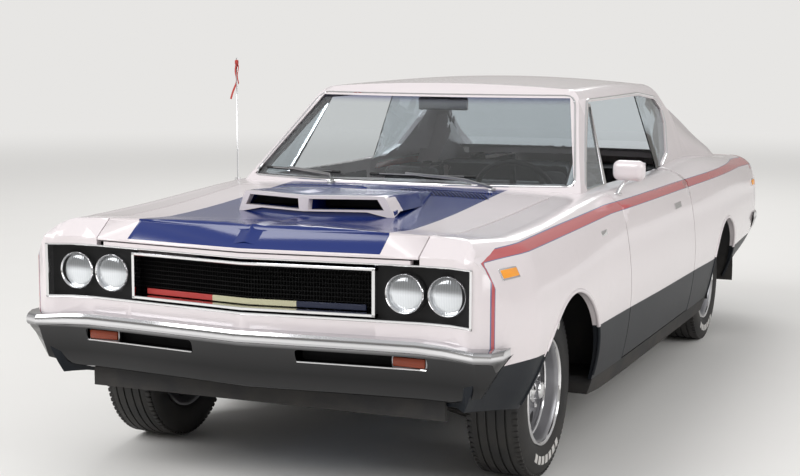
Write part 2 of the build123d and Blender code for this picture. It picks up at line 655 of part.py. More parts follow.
def make_tail():
    """Rear panel, tail lamps and the deck between the rear window and the trunk lid."""
    panel = SHELL & block(-TRUNK_HALF + 40, TRUNK_HALF - 40, TAIL_Y - 200, TAIL_Y + 100, 0,
                          DECK_EDGE_Z - 60 - SHUT)
    box = tail_lamp_box()
    panel -= box
    panel -= mirror(box, about=Plane.YZ)
    for cut in plate_holes(PLATE_HOLE_R * 4):
        panel -= cut
    keep("tail_panel", panel)
    keep("tail_lamps", both_sides(SKIN_SHELL & box))
    deck = SHELL & block(-TRUNK_HALF + 40, TRUNK_HALF - 40, BACKLIGHT_FOOT_Y - DECK_DEPTH,
                         TRUNK_FRONT_Y - SHUT, BELT_Z - 80, ROOF_Z)
    keep("rear_deck", deck)


def make_hood_scoop():
    """Twin-mouthed air scoop that sits on the hood."""
    y0 = SCOOP_LIP_Y
    sections = []
    for step, foot, top, z in ((0, 1.0, 0.82, 0), (0.5, 0.98, 0.82, 4), (1.0, 0.8, 0.66, -20)):
        foot_half, top_half = SCOOP_HALF * foot, SCOOP_HALF * top
        y, high, low = y0 + SCOOP_LENGTH * step, SCOOP_TOP_Z + z, SCOOP_TOP_Z - 110
        points = [(-foot_half, y, low), (foot_half, y, low), (top_half, y, high),
                  (-top_half, y, high)]
        sections.append(make_face(Polyline(*points, close=True)))
    scoop = loft(sections, ruled=True) - BODY
    for side in (-1, 1):
        mouth = ((side * 18, SCOOP_TOP_Z - 52), (side * 288, SCOOP_TOP_Z - 52),
                 (side * 264, SCOOP_TOP_Z - 12), (side * 22, SCOOP_TOP_Z - 12))
        scoop -= front_prism(mouth, y0 - 5, y0 + 330)
    valley = ((-150, SCOOP_TOP_Z + 9), (150, SCOOP_TOP_Z + 9), (110, SCOOP_TOP_Z - 9),
              (-110, SCOOP_TOP_Z - 9))
    scoop -= front_prism(valley, y0 + 90, y0 + SCOOP_LENGTH + 5)
    keep("hood_scoop", scoop)


def shield_point(x, climb, out):
    """Point over the windshield: across, up the slope from its foot, and out from the glass."""
    length = hypot(SHIELD_RUN, SHIELD_RISE)
    along = Vector(0, SHIELD_RUN / length, SHIELD_RISE / length)
    outward = Vector(0, -SHIELD_RISE / length, SHIELD_RUN / length)
    sag = SHIELD_RADIUS - (SHIELD_RADIUS ** 2 - x * x) ** 0.5
    return Vector(x, SHIELD_FOOT_Y, SHIELD_FOOT_Z) + along * climb + outward * (out - sag)


def make_wipers():
    """Two wiper arms with their blades, parked low on the glass."""
    wipers = []
    for pivot_x, blade in ((470.0, ((20.0, 92.0), (450.0, 116.0))),
                           (-160.0, ((-620.0, 130.0), (-190.0, 92.0)))):
        foot = shield_point(pivot_x, 0, 24)
        ends = [shield_point(x, climb, 12) for x, climb in blade]
        middle = (ends[0] + ends[1]) * 0.5
        wiper = rod(tuple(ends[0]), tuple(ends[1]), 5)
        wiper += rod(tuple(foot), tuple(middle), 5)
        wiper += Pos(*foot) * Cylinder(12, 80)
        wipers.append(wiper - BODY)
    keep("wipers", Compound(children=wipers))


ANTENNA = (-838.0, DOOR_FRONT_Y - 76)
ANTENNA_TOP_Z = 1530.0


def make_antenna():
    """Whip antenna with its domed foot on the right fender."""
    x, y = ANTENNA
    whip = Pos(x, y, 0) * Cylinder(3, ANTENNA_TOP_Z, align=(Align.CENTER, Align.CENTER, Align.MIN))
    foot = Pos(x, y, 0) * Cylinder(14, BELT_Z, align=(Align.CENTER, Align.CENTER, Align.MIN))
    keep("antenna", (whip + foot) & block(x - 40, x + 40, y - 40, y + 40, SHOULDER_CUT_Z, 2000)
         - BODY)


SHOULDER_CUT_Z = 900.0


def vent_outline(gap):
    """Side outline of a vent window, drawn in by gap."""
    foot_z = BELT_Z - 40 if gap == 0 else BELT_Z + 6
    slope = 446 / (SIDE_TOP_Z - 4 - BELT_Z - 14)
    top_z = SIDE_TOP_Z - 12 - gap
    clear = SHUT * 1.9 + gap * 1.6
    low_z = BELT_Z + 14
    return ((PILLAR_FOOT_Y + SHUT + gap, foot_z),
            (PILLAR_FOOT_Y + SHUT + gap, low_z - 4),
            (PILLAR_FOOT_Y + clear + (top_z - low_z) * slope, top_z),
            (DOOR_FRONT_Y + 480 - gap, top_z),
            (DOOR_FRONT_Y + 290 - gap, foot_z))


HANDLE = (DOOR_REAR_Y - 370, 834.0, 130.0, 26.0)


def make_door_trim():
    """Vent windows, their bright frames, the door handles and the mirror."""
    ring = side_prism(vent_outline(0), 500, BODY_HALF) - side_prism(vent_outline(12), 500, BODY_HALF)
    frame = (cabin_form(4) - cabin_form(18)) & ring
    y, z, long, high = HANDLE
    handle = BADGE_SHELL & block(BODY_HALF / 2, BODY_HALF * 1.1, y, y + long, z, z + high)
    chrome = Compound(children=(frame - BODY).solids() + handle.solids())
    pane = (cabin_form(8) - cabin_form(12)) & side_prism(vent_outline(12), 500, BODY_HALF)
    pane -= BODY
    for side, flip in (("left", False), ("right", True)):
        keep("door_chrome_" + side, mirror(chrome, about=Plane.YZ) if flip else chrome)
        keep("vent_glass_" + side, mirror(pane, about=Plane.YZ) if flip else pane)


MIRROR_FOOT = (872.0, DOOR_FRONT_Y + 110)
MIRROR_HEAD = (905.0, DOOR_FRONT_Y + 180, 1068.0)


def make_door_mirror():
    """Mirror on a bright stalk on the left door."""
    x, y = MIRROR_FOOT
    hx, hy, hz = MIRROR_HEAD
    head = Pos(hx, hy, hz) * Box(140, 60, 98)
    head = fillet(head.edges().filter_by(Axis.Y), 34)
    head = fillet(head.faces().sort_by(Axis.Y)[0].edges(), 18)
    stalk = rod((x, y, 940), (x, y, 985), 12) + rod((x, y, 982), (hx, hy, hz - 40), 9)
    keep("door_mirror", (head + stalk) - BODY)


PILLAR_X = 700.0
ENGINE = (230.0, FRONT_AXLE_Y - 438, FIREWALL_Y - 140, 330.0, 800.0)
TUNNEL_R = 150.0
TUNNEL_WALL = 15.0
GEARBOX_R = 110.0
SHAFT_R = 36.0
REAR_SEAT_Y = DOOR_REAR_Y + 110
TRUNK_WALL_Y = REAR_AXLE_Y - 114
WHEELHOUSE_X = REAR_TRACK_HALF - TYRE_WIDTH / 2 - 14


def make_floor_pan():
    """Floor with its tunnel, and the sills under the doors."""
    front, rear = FRONT_AXLE_Y + FRONT_ARCH_R + 12, REAR_AXLE_Y - REAR_ARCH_R - 12
    sill = BODY & block(PILLAR_X, BODY_HALF, front, rear, SILL_Z + 3, DOOR_FLOOR_Z - SHUT)
    floor = block(-PILLAR_X, PILLAR_X, FIREWALL_Y, rear, FLOOR_Z, FLOOR_Z + FLOOR_THICK)
    floor += block(-WHEELHOUSE_X, WHEELHOUSE_X, rear, TRUNK_WALL_Y, FLOOR_Z, FLOOR_Z + FLOOR_THICK)
    well = block(WHEELHOUSE_X - 10, WHEELHOUSE_X, rear - 10, TRUNK_WALL_Y, FLOOR_Z, BELT_Z - 80)
    well += block(WHEELHOUSE_X - 10, CABIN_HALF, rear - 10, rear, FLOOR_Z, BELT_Z - 80)
    floor += well & BODY_INNER
    floor += mirror(well & BODY_INNER, about=Plane.YZ)
    length = TRUNK_WALL_Y - FIREWALL_Y
    middle = (FIREWALL_Y + TRUNK_WALL_Y) / 2
    place = Pos(0, middle, FLOOR_Z) * Rot(90, 0, 0)
    floor += (place * Cylinder(TUNNEL_R, length)) & block(
        -TUNNEL_R, TUNNEL_R, FIREWALL_Y, TRUNK_WALL_Y, FLOOR_Z, ROOF_Z)
    floor -= place * Cylinder(TUNNEL_R - TUNNEL_WALL, length + 10)
    keep("floor_pan", floor + sill + mirror(sill, about=Plane.YZ))


def make_firewall():
    """Firewall and the hinge pillars that the doors hang on."""
    wall = block(-PILLAR_X, PILLAR_X, FIREWALL_Y - 18, FIREWALL_Y, FLOOR_Z, ROOF_Z) & BODY_INNER
    wall -= Pos(0, FIREWALL_Y, FLOOR_Z) * Rot(90, 0, 0) * Cylinder(TUNNEL_R, 100)
    post = BODY_INNER & block(PILLAR_X, BODY_HALF, FIREWALL_Y - 18, DOOR_FRONT_Y - SHUT,
                              DOOR_FLOOR_Z - SHUT, ROOF_Z)
    arm = block(HOOD_STRAP_X - 25, HOOD_STRAP_X + 25, HOOD_REAR_Y - 85, FIREWALL_Y - 18,
                BRACKET_TOP_Z - 65, BRACKET_TOP_Z)
    arm -= lid_strap(HOOD_STRAP_X, HOOD_HINGE, widened(HOOD_STRAP_SPAN, 0, 2), STRAP_CLEAR)
    side = post + arm
    keep("firewall", wall + side + mirror(side, about=Plane.YZ))


APRON_X = 480.0


def make_engine_bay():
    """Inner aprons beside the engine and the radiator with its support."""
    y0, y1 = NOSE_Y + 235, FIREWALL_Y - 18
    apron = block(APRON_X, APRON_X + 14, y0, y1, 330, LIP_Z - 20)
    rail = block(APRON_X - 60, APRON_X, y0, y1, 330, 400)
    side = apron + rail
    support = block(-HOOD_FRONT_HALF - 60, HOOD_FRONT_HALF + 60, y0 - 20, y0, 330, LIP_Z - 20)
    radiator = block(-330, 330, y0, y0 + 60, 400, LIP_Z - 50)
    keep("engine_bay", (side + mirror(side, about=Plane.YZ) + support + radiator) & BODY_INNER)


def make_engine():
    """Engine as one plain block, with the gearbox behind it."""
    half, y0, y1, z0, z1 = ENGINE
    gearbox = rod((0, y1 - 5, FLOOR_Z + 15), (0, y1 + 500, FLOOR_Z + 15), GEARBOX_R)
    keep("engine", block(-half, half, y0, y1, z0, z1) + block(-130, 130, FRONT_AXLE_Y + 70, y1, 190, z0)
         + gearbox)


TRUNK_FLOOR_Z = 430.0
TUB_X = 605.0


def make_trunk_tub():
    """Trunk floor with its side walls, its front wall and the shelf behind the rear seat."""
    rear = TAIL_Y - 110
    floor = block(-TUB_X, TUB_X, TRUNK_WALL_Y, rear, TRUNK_FLOOR_Z, TRUNK_FLOOR_Z + 14)
    wall = block(TUB_X - 12, TUB_X, TRUNK_WALL_Y, rear, TRUNK_FLOOR_Z, BELT_Z - 90)
    front = block(-TUB_X, TUB_X, TRUNK_WALL_Y, TRUNK_WALL_Y + 14, FLOOR_Z, BELT_Z - 80)
    shelf = block(-CABIN_HALF + 5, CABIN_HALF - 5, TRUNK_WALL_Y, BACKLIGHT_FOOT_Y - 34,
                  BELT_Z - 80, BELT_Z - 64)
    front -= Pos(0, TRUNK_WALL_Y, FLOOR_Z) * Rot(90, 0, 0) * Cylinder(TUNNEL_R - TUNNEL_WALL, 100)
    arm = block(TRUNK_STRAP_X - 25, TUB_X, TRUNK_FRONT_Y - 60, TRUNK_FRONT_Y + 85,
                BRACKET_TOP_Z - 65, BRACKET_TOP_Z)
    arm -= lid_strap(TRUNK_STRAP_X, TRUNK_HINGE, widened(TRUNK_STRAP_SPAN, 2, 0), STRAP_CLEAR)
    wall += arm
    tub = floor + wall + mirror(wall, about=Plane.YZ) + front + shelf
    keep("trunk_tub", tub & BODY_INNER)


TIP_R = 32.0
TIP_LENGTH = 110.0


def make_underbody():
    """Exhaust pipes and fuel tank."""
    y0, y1 = FRONT_AXLE_Y + 260, BUMPER_REAR_Y - 40
    pipes = []
    for side in (-1, 1):
        x = side * 330
        pipe = rod((x, y0, 192), (x, y1, 192), 28.5)
        pipe += block(x - 110, x + 110, DOOR_REAR_Y - 250, DOOR_REAR_Y + 250, 142, FLOOR_Z)
        pipe += rod((x, y0, 192), (x, y0, 335), 28.5)
        pipe += rod((x, y1 - TIP_LENGTH, 192), (x, y1, 192), TIP_R)
        pipes.append(pipe)
    keep("exhaust", Compound(children=pipes))
    tank = block(-280, 280, REAR_AXLE_Y + 240, REAR_AXLE_Y + 900, 240, TRUNK_FLOOR_Z)
    keep("fuel_tank", fillet(tank.edges().filter_by(Axis.Z), 60))


HUB_X_IN = -25.0           # inner end of a wheel hub, from the wheel's middle


def make_front_suspension():
    """Crossmember with an upper and a lower arm and a kingpin on each side."""
    y = FRONT_AXLE_Y
    beam = block(-APRON_X + 10, APRON_X - 10, y - 60, y + 60, 205, 330)
    arms = []
    for side in (-1, 1):
        end = side * KINGPIN_X
        arm = rod((side * 460, y - 50, 240), (end, y, 168), 12)
        arm += rod((side * 460, y + 50, 240), (end, y, 168), 12)
        arm += rod((end, y, 160), (end, y, 235), KINGPIN_R)
        upper = rod((side * (APRON_X + 12), y - 50, 512), (end, y, 474), 11)
        upper += rod((side * (APRON_X + 12), y + 50, 512), (end, y, 474), 11)
        upper += rod((end, y, 412), (end, y, 486), KINGPIN_R)
        upper -= block(-APRON_X - 14, APRON_X + 14, y - 100, y + 100, 400, 600)
        arms += [arm, upper]
    beam += arms[0] + arms[2]
    keep("front_suspension", Compound(children=beam.solids() + [arms[1], arms[3]]))


def make_knuckles():
    """Steering knuckles, each with its wheel spindle."""
    y = FRONT_AXLE_Y
    clear = KINGPIN_R + SPINDLE_CLEARANCE
    post = block(KINGPIN_X - 26, KINGPIN_X + 26, y - 26, y + 26, 198, 454)
    post += rod((KINGPIN_X, y, TYRE_R), (FRONT_TRACK_HALF + 20, y, TYRE_R), SPINDLE_R)
    post += rod((KINGPIN_X, y, TYRE_R), (FRONT_TRACK_HALF + HUB_X_IN - 2, y, TYRE_R), 40)
    post -= rod((KINGPIN_X, y, 100), (KINGPIN_X, y, 240), clear)
    post -= rod((KINGPIN_X, y, 405), (KINGPIN_X, y, 500), clear)
    keep("knuckle_left", post)
    keep("knuckle_right", mirror(post, about=Plane.YZ))


def make_rear_axle():
    """Rear axle tube, differential, springs, lower links and propeller shaft."""
    y = REAR_AXLE_Y
    end = REAR_TRACK_HALF
    axle = rod((-end - 20, y, TYRE_R), (end + 20, y, TYRE_R), SPINDLE_R)
    axle += rod((-end - HUB_X_IN + 8, y, TYRE_R), (end + HUB_X_IN - 8, y, TYRE_R), 38)
    axle += Pos(0, y, TYRE_R) * Sphere(100)
    for side in (-1, 1):
        axle += rod((side * (end - 80), y, TYRE_R), (side * (end + HUB_X_IN - 3), y, TYRE_R), 120)
        axle += rod((side * 480, y + 60, TYRE_R), (side * 480, y + 60, TRUNK_FLOOR_Z), 50)
        axle += rod((side * 480, y, TYRE_R), (side * 480, y, 200), 14)
        axle += rod((side * 480, y, 207), (side * 480, y - 420, 207), 14)
        axle += rod((side * 480, y - 420, 200), (side * 480, y - 420, FLOOR_Z), 16)
    axle += rod((0, y, TYRE_R), (0, ENGINE[2] + 502, FLOOR_Z + 15), SHAFT_R)
    keep("rear_axle", axle)


def make_wheels():
    """Tyres and slotted rims, turned about their own axes."""
    half = TYRE_WIDTH / 2
    tyre_profile = ((RIM_R, -half + 14), (TYRE_R - 56, -half), (TYRE_R - 14, -half + 8),
                    (TYRE_R, -half + 26), (TYRE_R, half - 26), (TYRE_R - 14, half - 8),
                    (TYRE_R - 56, half), (RIM_R, half - 14))
    tyre = revolve(make_face(Polyline(*[(r, 0, d) for r, d in tyre_profile], close=True)), Axis.Z)
    rim_profile = ((RIM_R, -half + 14), (RIM_R, half - 14), (RIM_R - 14, half - 18),
                   (RIM_R - 26, 26), (70, 44), (20, 60), (0, 60), (0, 36),
                   (SPINDLE_R + SPINDLE_CLEARANCE, 36), (SPINDLE_R + SPINDLE_CLEARANCE, HUB_X_IN),
                   (56, HUB_X_IN), (56, 22), (RIM_R - 28, 10), (RIM_R - 14, -half + 18))
    rim = revolve(make_face(Polyline(*[(r, 0, d) for r, d in rim_profile], close=True)), Axis.Z)
    slot = Pos(RIM_R - 76, 0, 20) * Box(52, 46, 120)
    slot = fillet(slot.edges().filter_by(Axis.Z), 18)
    for i in range(5):
        rim -= Rot(0, 0, 90 + 72 * i) * slot
    for end, y, half_track in (("front", FRONT_AXLE_Y, FRONT_TRACK_HALF),
                               ("rear", REAR_AXLE_Y, REAR_TRACK_HALF)):
        for side, sense in (("left", 1), ("right", -1)):
            place = Pos(sense * half_track, y, TYRE_R) * Rot(0, 90 * sense, 0)
            keep("tyre_%s_%s" % (end, side), place * tyre)
            keep("rim_%s_%s" % (end, side), place * rim)


COLUMN_FOOT = (STEERING_X, DOOR_FRONT_Y + 20, 800.0)
COLUMN_LENGTH = 240.0


def column_point(travel):
    """Point on the steering column's axis, counted from its foot."""
    tilt = radians(WHEEL_AXIS_TILT)
    x, y, z = COLUMN_FOOT
    return (x, y + travel * cos(tilt), z + travel * sin(tilt))


def make_dashboard():
    """Dashboard across the cabin, with the steering column."""
    y = FIREWALL_Y
    outline = ((y, 640), (y, 985), (y + 250, 985), (y + 310, 930), (y + 296, 870),
               (y + 240, 760), (y + 220, 640))
    dash = side_prism(outline, -PILLAR_X + 2, PILLAR_X - 2) & BODY_INNER
    dash += rod(column_point(0), column_point(COLUMN_LENGTH - 10), 26)
    dash += rod(column_point(0), column_point(COLUMN_LENGTH + 34), 9)
    keep("dashboard", dash)


def make_steering_wheel():
    """Three-spoke steering wheel."""
    tilt = radians(WHEEL_AXIS_TILT)
    place = Plane(origin=column_point(COLUMN_LENGTH), x_dir=(1, 0, 0),
                  z_dir=(0, cos(tilt), sin(tilt)))
    wheel = Pos(0, 0, 42) * Torus(STEERING_R, 13)
    for angle in (0, 180, 270):
        wheel += Rot(0, 0, angle) * Pos(STEERING_R / 2, 0, 28) * Rot(0, -8, 0) * Box(
            STEERING_R - 6, 28, 7)
    wheel += Pos(0, 0, 26) * Cylinder(42, 40)
    wheel -= Pos(0, 0, 10) * Cylinder(9.6, 60)
    keep("steering_wheel", place * wheel)


def make_seats():
    """High-backed front seats and the rear bench."""
    floor = FLOOR_Z + FLOOR_THICK + TOUCH
    front = ((-330, floor), (-350, 440), (-320, 490), (60, 470), (140, 500), (215, 800),
             (250, 1000), (300, 1040), (345, 1010), (330, 800), (260, 520), (200, floor))
    y0 = DOOR_FRONT_Y + 700
    points = [(y0 + y, z) for y, z in front]
    seat = side_prism(points, 155, 660)
    keep("front_seats", both_sides(seat))
    y1 = REAR_SEAT_Y
    bench = ((60, floor), (40, 500), (80, 530), (430, 500), (520, 880), (570, 905),
             (TRUNK_WALL_Y - y1 - TOUCH, 905), (TRUNK_WALL_Y - y1 - TOUCH, 520),
             (TRUNK_WALL_Y - y1 - 40, floor))
    points = [(y1 + y, z) for y, z in bench]
    seat = side_prism(points, -WHEELHOUSE_X + 14, WHEELHOUSE_X - 14)
    seat -= Pos(0, y1 + 400, FLOOR_Z) * Rot(90, 0, 0) * Cylinder(TUNNEL_R + TOUCH, 1500)
    keep("rear_seat", seat)


MAKERS = (
    make_front_fenders, make_hood, make_hood_scoop, make_trunk_lid, make_doors, make_hinges,
    make_door_trim,
    make_door_mirror, make_cowl, make_wipers, make_antenna, make_roof, make_glass,
    make_quarter_panels, make_nose_panel, make_lamp_panel, make_grille, make_grille_trim,
    make_headlamps, make_bumpers, make_marker_lamps, make_tail, make_floor_pan, make_firewall,
    make_engine_bay, make_engine, make_trunk_tub, make_underbody, make_front_suspension,
    make_knuckles, make_rear_axle, make_wheels, make_dashboard, make_steering_wheel, make_seats,
)


def build_all():
    """Make every piece."""
    for make in MAKERS:
        make()


def export_all():
    """Write one STEP file for each piece."""
    os.makedirs("parts", exist_ok=True)
    for name, shape in PARTS.items():
        export_step(shape, os.path.join("parts", name + ".step"))


build_all()
export_all()
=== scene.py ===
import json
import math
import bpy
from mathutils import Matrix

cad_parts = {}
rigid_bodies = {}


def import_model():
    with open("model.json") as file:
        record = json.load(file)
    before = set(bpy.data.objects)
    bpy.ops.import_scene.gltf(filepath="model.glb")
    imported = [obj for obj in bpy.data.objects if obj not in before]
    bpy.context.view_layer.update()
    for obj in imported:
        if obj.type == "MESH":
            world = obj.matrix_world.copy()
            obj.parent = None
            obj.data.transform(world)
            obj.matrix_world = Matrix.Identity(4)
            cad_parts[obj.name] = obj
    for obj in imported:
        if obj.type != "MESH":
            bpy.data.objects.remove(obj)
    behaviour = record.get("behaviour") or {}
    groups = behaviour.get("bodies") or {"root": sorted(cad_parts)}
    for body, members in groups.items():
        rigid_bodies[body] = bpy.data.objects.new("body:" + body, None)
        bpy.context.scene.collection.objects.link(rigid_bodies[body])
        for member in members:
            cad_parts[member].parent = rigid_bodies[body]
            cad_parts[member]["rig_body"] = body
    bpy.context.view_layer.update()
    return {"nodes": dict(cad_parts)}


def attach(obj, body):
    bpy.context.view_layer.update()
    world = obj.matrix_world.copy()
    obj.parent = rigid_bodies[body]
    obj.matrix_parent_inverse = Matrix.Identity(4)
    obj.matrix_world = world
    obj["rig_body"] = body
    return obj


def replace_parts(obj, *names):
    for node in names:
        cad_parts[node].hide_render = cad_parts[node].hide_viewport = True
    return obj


bl_info = {
    "name": "Hardtop Muscle Car Finish",
    "version": (1, 0, 0),
    "blender": (4, 5, 0),
    "location": "View3D > Sidebar > Hardtop",
    "description": "Paint, glass, bright trim, wheels, seats and studio for a hardtop car",
    "category": "Object",
}

import bmesh
import bpy
from mathutils import Matrix, Vector
from mathutils.bvhtree import BVHTree

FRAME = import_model()
PICTURE_WIDTH = 800
MERGE = 1e-5

# Lengthwise places of the car, in metres
FRONT_AXLE_Y = -1.612
REAR_AXLE_Y = 1.284
NOSE_Y = -2.372
BUMPER_Y = -2.420
DOOR_FRONT_Y = -0.800
DOOR_REAR_Y = 0.455
HUB_Z = 0.322
BELT_Z = 0.990
TRACK_HALF = {"front": 0.758, "rear": 0.762}

# Front faces in plan: distance from the middle line and setback from the tip
CAD_NOSE_Y = -2.4455
CAD_NOSE_PLAN = ((0.0, 0.0), (0.490, 0.118), (0.860, 0.135), (0.925, 0.165), (0.965, 0.260))
NOSE_PLAN = ((0.0, 0.0), (0.476, 0.056), (0.640, 0.074), (0.740, 0.070), (0.829, 0.038),
             (0.890, 0.076), (0.924, 0.132), (0.955, 0.230))
BUMPER_PLAN = ((0.0, 0.0), (0.470, 0.050), (0.640, 0.066), (0.740, 0.062), (0.850, 0.038),
               (0.905, 0.062), (0.930, 0.107), (0.940, 0.150))
# how the shown nose differs from the CAD shell's: outward by x, upward by z
NOSE_WIDTHS = ((0.476, 0.0), (0.640, -0.024), (0.905, -0.076), (0.965, -0.010), (1.0, 0.0))
NOSE_RISES = ((0.600, 0.0), (0.650, 0.018), (0.840, 0.027), (0.872, 0.022), (0.938, 0.014),
              (1.000, 0.004))
NOSE_FADE = (-1.990, -2.270)
# extra height of the cabin above the belt, as a share, and where it starts lengthwise
ROOF_SHARE, ROOF_FADE = 0.0664, (-1.30, -1.10)
# how far the panel behind the bumper is set back, faded in height, width and length
BACK_SET, BACK_FADES = 0.075, ((0.610, 0.585), (0.86, 0.76), (-2.20, -2.30))
NOSE_CUTS = (0.0, 0.476, 0.670, 0.794, 0.905, 0.934, 0.950)
FADE_CUTS = (-2.24, -2.18, -2.12, -2.06, -2.00)
LEVEL_CUTS = (0.585, 0.610, 0.650, 0.840)

# Face of the nose
FACE_HALF, FACE_LOW, FACE_TOP = 0.829, 0.668, 0.867
GRILLE_HALF, GRILLE_LOW, GRILLE_TOP = 0.476, 0.682, 0.850
GRILLE_SLATS, GRILLE_RIBS = 11, 88
GRILLE_FRAME, FACE_SIDE_EDGE, FACE_LOW_EDGE, FACE_TOP_EDGE = 0.011, 0.009, 0.009, 0.006
# bright edges' front and back, as distances behind the nose line
FRAME_DEPTHS, EDGE_DEPTHS = (0.004, 0.055), (-0.003, 0.032)
# parts of the coloured bar across the grille: name, finish and ends
GRILLE_BAR = (("bar_outer", "bar_red", -0.438, -0.150), ("bar_middle", "bar_white", -0.150, 0.177),
              ("bar_inner", "bar_blue", 0.177, 0.425))
LAMP_X, LAMP_Z, LAMP_SETBACK = (0.574, 0.726), 0.767, 0.014
# side lamps: panel, middle in y and z, length and height
MARKERS = (("front_fenders", -2.170, 0.840, 0.106, 0.030),
           ("quarter_panels", 2.232, 0.787, 0.096, 0.032))
# heights of the ribs across the tail lamps
TAIL_RIBS = (0.705, 0.734, 0.763)

PANELS = ("front_fenders", "cowl", "roof", "quarter_panels", "nose_panel", "rear_deck",
          "tail_panel", "door_left", "door_right", "trunk_lid", "hood")
GLASS_NODES = ("windshield", "rear_glass", "quarter_glass", "vent_glass_left",
               "vent_glass_right")
UNDER_NODES = ("floor_pan", "firewall", "engine_bay", "trunk_tub", "fuel_tank",
               "front_suspension", "rear_axle", "knuckle_left", "knuckle_right")
HINGES = ("door_hinges", "hood_hinges", "trunk_hinges")
WHEELS = (("front", "left"), ("front", "right"), ("rear", "left"), ("rear", "right"))

# Where rays start, clear of the car, and the axes as vectors
RAY_SIDE, RAY_TOP = 1.2, 1.3
AXES = (Vector((1, 0, 0)), Vector((0, 1, 0)), Vector((0, 0, 1)))
SIDEWAYS = Matrix(((0, 1, 0, 0), (1, 0, 0, 0), (0, 0, 1, 0), (0, 0, 0, 1)))   # swaps x and y

# Body: plane along the top of the dark lower body: a point and the upward normal
LOWER_POINT, LOWER_NORMAL = Vector((0.0, -1.172, 0.519)), Vector((0.0, 0.014, 1.0))
NOSE_PLANES = ((0, NOSE_CUTS + tuple(-x for x in NOSE_CUTS[1:])), (1, FADE_CUTS),
               (2, LEVEL_CUTS))
CREASE_ENDS = (-2.345, -1.88)
CREASE_PROFILE = ((-0.055, -0.001), (-0.030, 0.0012), (-0.010, 0.0042), (0.0, 0.0050),
                  (0.010, 0.0042), (0.030, 0.0012), (0.055, -0.001))
# rear pillar's upper outline in (y, z), continued on to the deck
SAIL_OUTLINE = ((1.12, 1.268), (1.321, 1.192), (1.440, 1.142), (1.560, 1.096), (1.698, 1.052),
                (1.784, 1.024), (1.880, 0.975))
SAIL_FOOT = 0.930
REAR_ARCH_RISE = 0.012
# end, middle in y and z, radius and panel of each pair of wheel arches
ARCHES = (("front", FRONT_AXLE_Y, HUB_Z, 0.378, "front_fenders"),
          ("rear", REAR_AXLE_Y, HUB_Z + REAR_ARCH_RISE, 0.341, "quarter_panels"))
ARCH_SKIN_X = 0.86         # points nearer the middle line lie inside an arch
# section of a rear wheel house as (radius, distance from the middle line)
WHEEL_HOUSE = ((0.346, 0.942), (0.352, 0.942), (0.352, 0.594), (0.110, 0.594), (0.110, 0.600),
               (0.346, 0.600))
# turns in degrees that arch lips and wheel houses run through, and their steps
ARCH_TURNS, ARCH_STEPS = (-8, 188), 60
HOUSE_TURNS, HOUSE_STEPS = (-9, 189), 32
# panels on the inside of a door: x, y from the door's middle, z, size and edge
DOOR_CARD = ((0.7635, -0.01, 0.655, (0.007, 1.13, 0.56), 0.003),
             (0.7610, -0.01, 0.520, (0.005, 1.08, 0.15), 0.002),
             (0.7600, 0.10, 0.700, (0.006, 0.44, 0.060), 0.0025))

# Scoop
SCOOP_LIP_Y = -1.784
SCOOP_HALF = 0.352
SCOOP_BEND = 0.112
SCOOP_TIP_Y = SCOOP_LIP_Y - SCOOP_BEND
SCOOP_PLANES = ((0, (-0.3, -0.2, -0.1, 0.0, 0.1, 0.2, 0.3)), (1, (-1.72, -1.66, -1.60, -1.52)))
# depth of the white lip, and how much more of it is white beyond a distance from the middle
SCOOP_LIP_DEPTH, SCOOP_CHEEK, SCOOP_CHEEK_X = 0.034, 0.060, 0.292
# section of the chin below the lip as (setback, z), and how much narrower it is
SCOOP_CHIN, CHIN_INSET = ((0.004, 0.935), (0.040, 0.935), (0.040, 0.984), (0.014, 0.980)), 0.030

# Front bumper: heights of its section, its face as (setback, z) and its slots' middle height
BUMPER_TOP, BUMPER_ROLL, BUMPER_LOW = 0.622, 0.576, 0.403
BUMPER_HALF = 0.932
BUMPER_FACE = ((0.022, BUMPER_TOP), (0.010, BUMPER_TOP - 0.003), (0.002, BUMPER_TOP - 0.012),
               (0.0, BUMPER_TOP - 0.022), (0.001, BUMPER_TOP - 0.032),
               (0.008, BUMPER_TOP - 0.041), (0.020, BUMPER_ROLL), (0.028, BUMPER_ROLL - 0.010),
               (0.050, 0.500), (0.080, 0.425), (0.086, 0.411), (0.096, 0.405))
SLOT_Z = 0.540
# place and size of the block that cuts a slot, and the signal lamps at the slots' outer ends
SLOT_CUT_X, SLOT_CUT_Y, SLOT_CUT = 0.4355, -2.33, (0.467, 0.30, 0.044)
SIGNAL_X = 0.600
# slot backs, dark sheets of painted shade, as (setback, z), and the face near the slots as (z,
# setback)
SLOT_SHADE_BACK = ((0.094, 0.512), (0.098, 0.512), (0.098, 0.570), (0.094, 0.570))
SLOT_FACE = ((0.500, 0.050), (0.564, 0.026), (0.574, 0.018))

# Lamps, dials and the air cleaner, as (radius, distance along the axis)
LAMP_RIM = ((0.0625, 0.030), (0.0615, 0.004), (0.0635, -0.005), (0.0665, -0.008),
            (0.0700, -0.004), (0.0715, 0.006), (0.0715, 0.030))
LAMP_LENS = ((0.0, -0.006), (0.020, -0.0052), (0.040, -0.002), (0.054, 0.003),
             (0.0618, 0.009), (0.0618, 0.020), (0.0, 0.020))
LAMP_CUP = ((0.058, 0.018), (0.0735, 0.018), (0.0735, 0.036), (0.058, 0.036))
DIAL_RIM = ((0.040, -0.004), (0.047, -0.004), (0.047, 0.004), (0.044, 0.006), (0.040, 0.003))
DIAL_FACE = ((0.0, -0.004), (0.041, -0.004), (0.041, 0.001), (0.0, 0.001))
AIR_CLEANER = ((0.0, -0.004), (0.085, -0.004), (0.085, 0.014), (0.172, 0.014), (0.182, 0.020),
               (0.182, 0.052), (0.172, 0.058), (0.060, 0.064), (0.0, 0.064))

# Brightwork
ANTENNA_PLACE = (-0.838, -0.876)
# x of the pivot, knee and tip of each wiper
WIPERS = ((0.440, 0.200, -0.130), (-0.290, -0.420, -0.690))
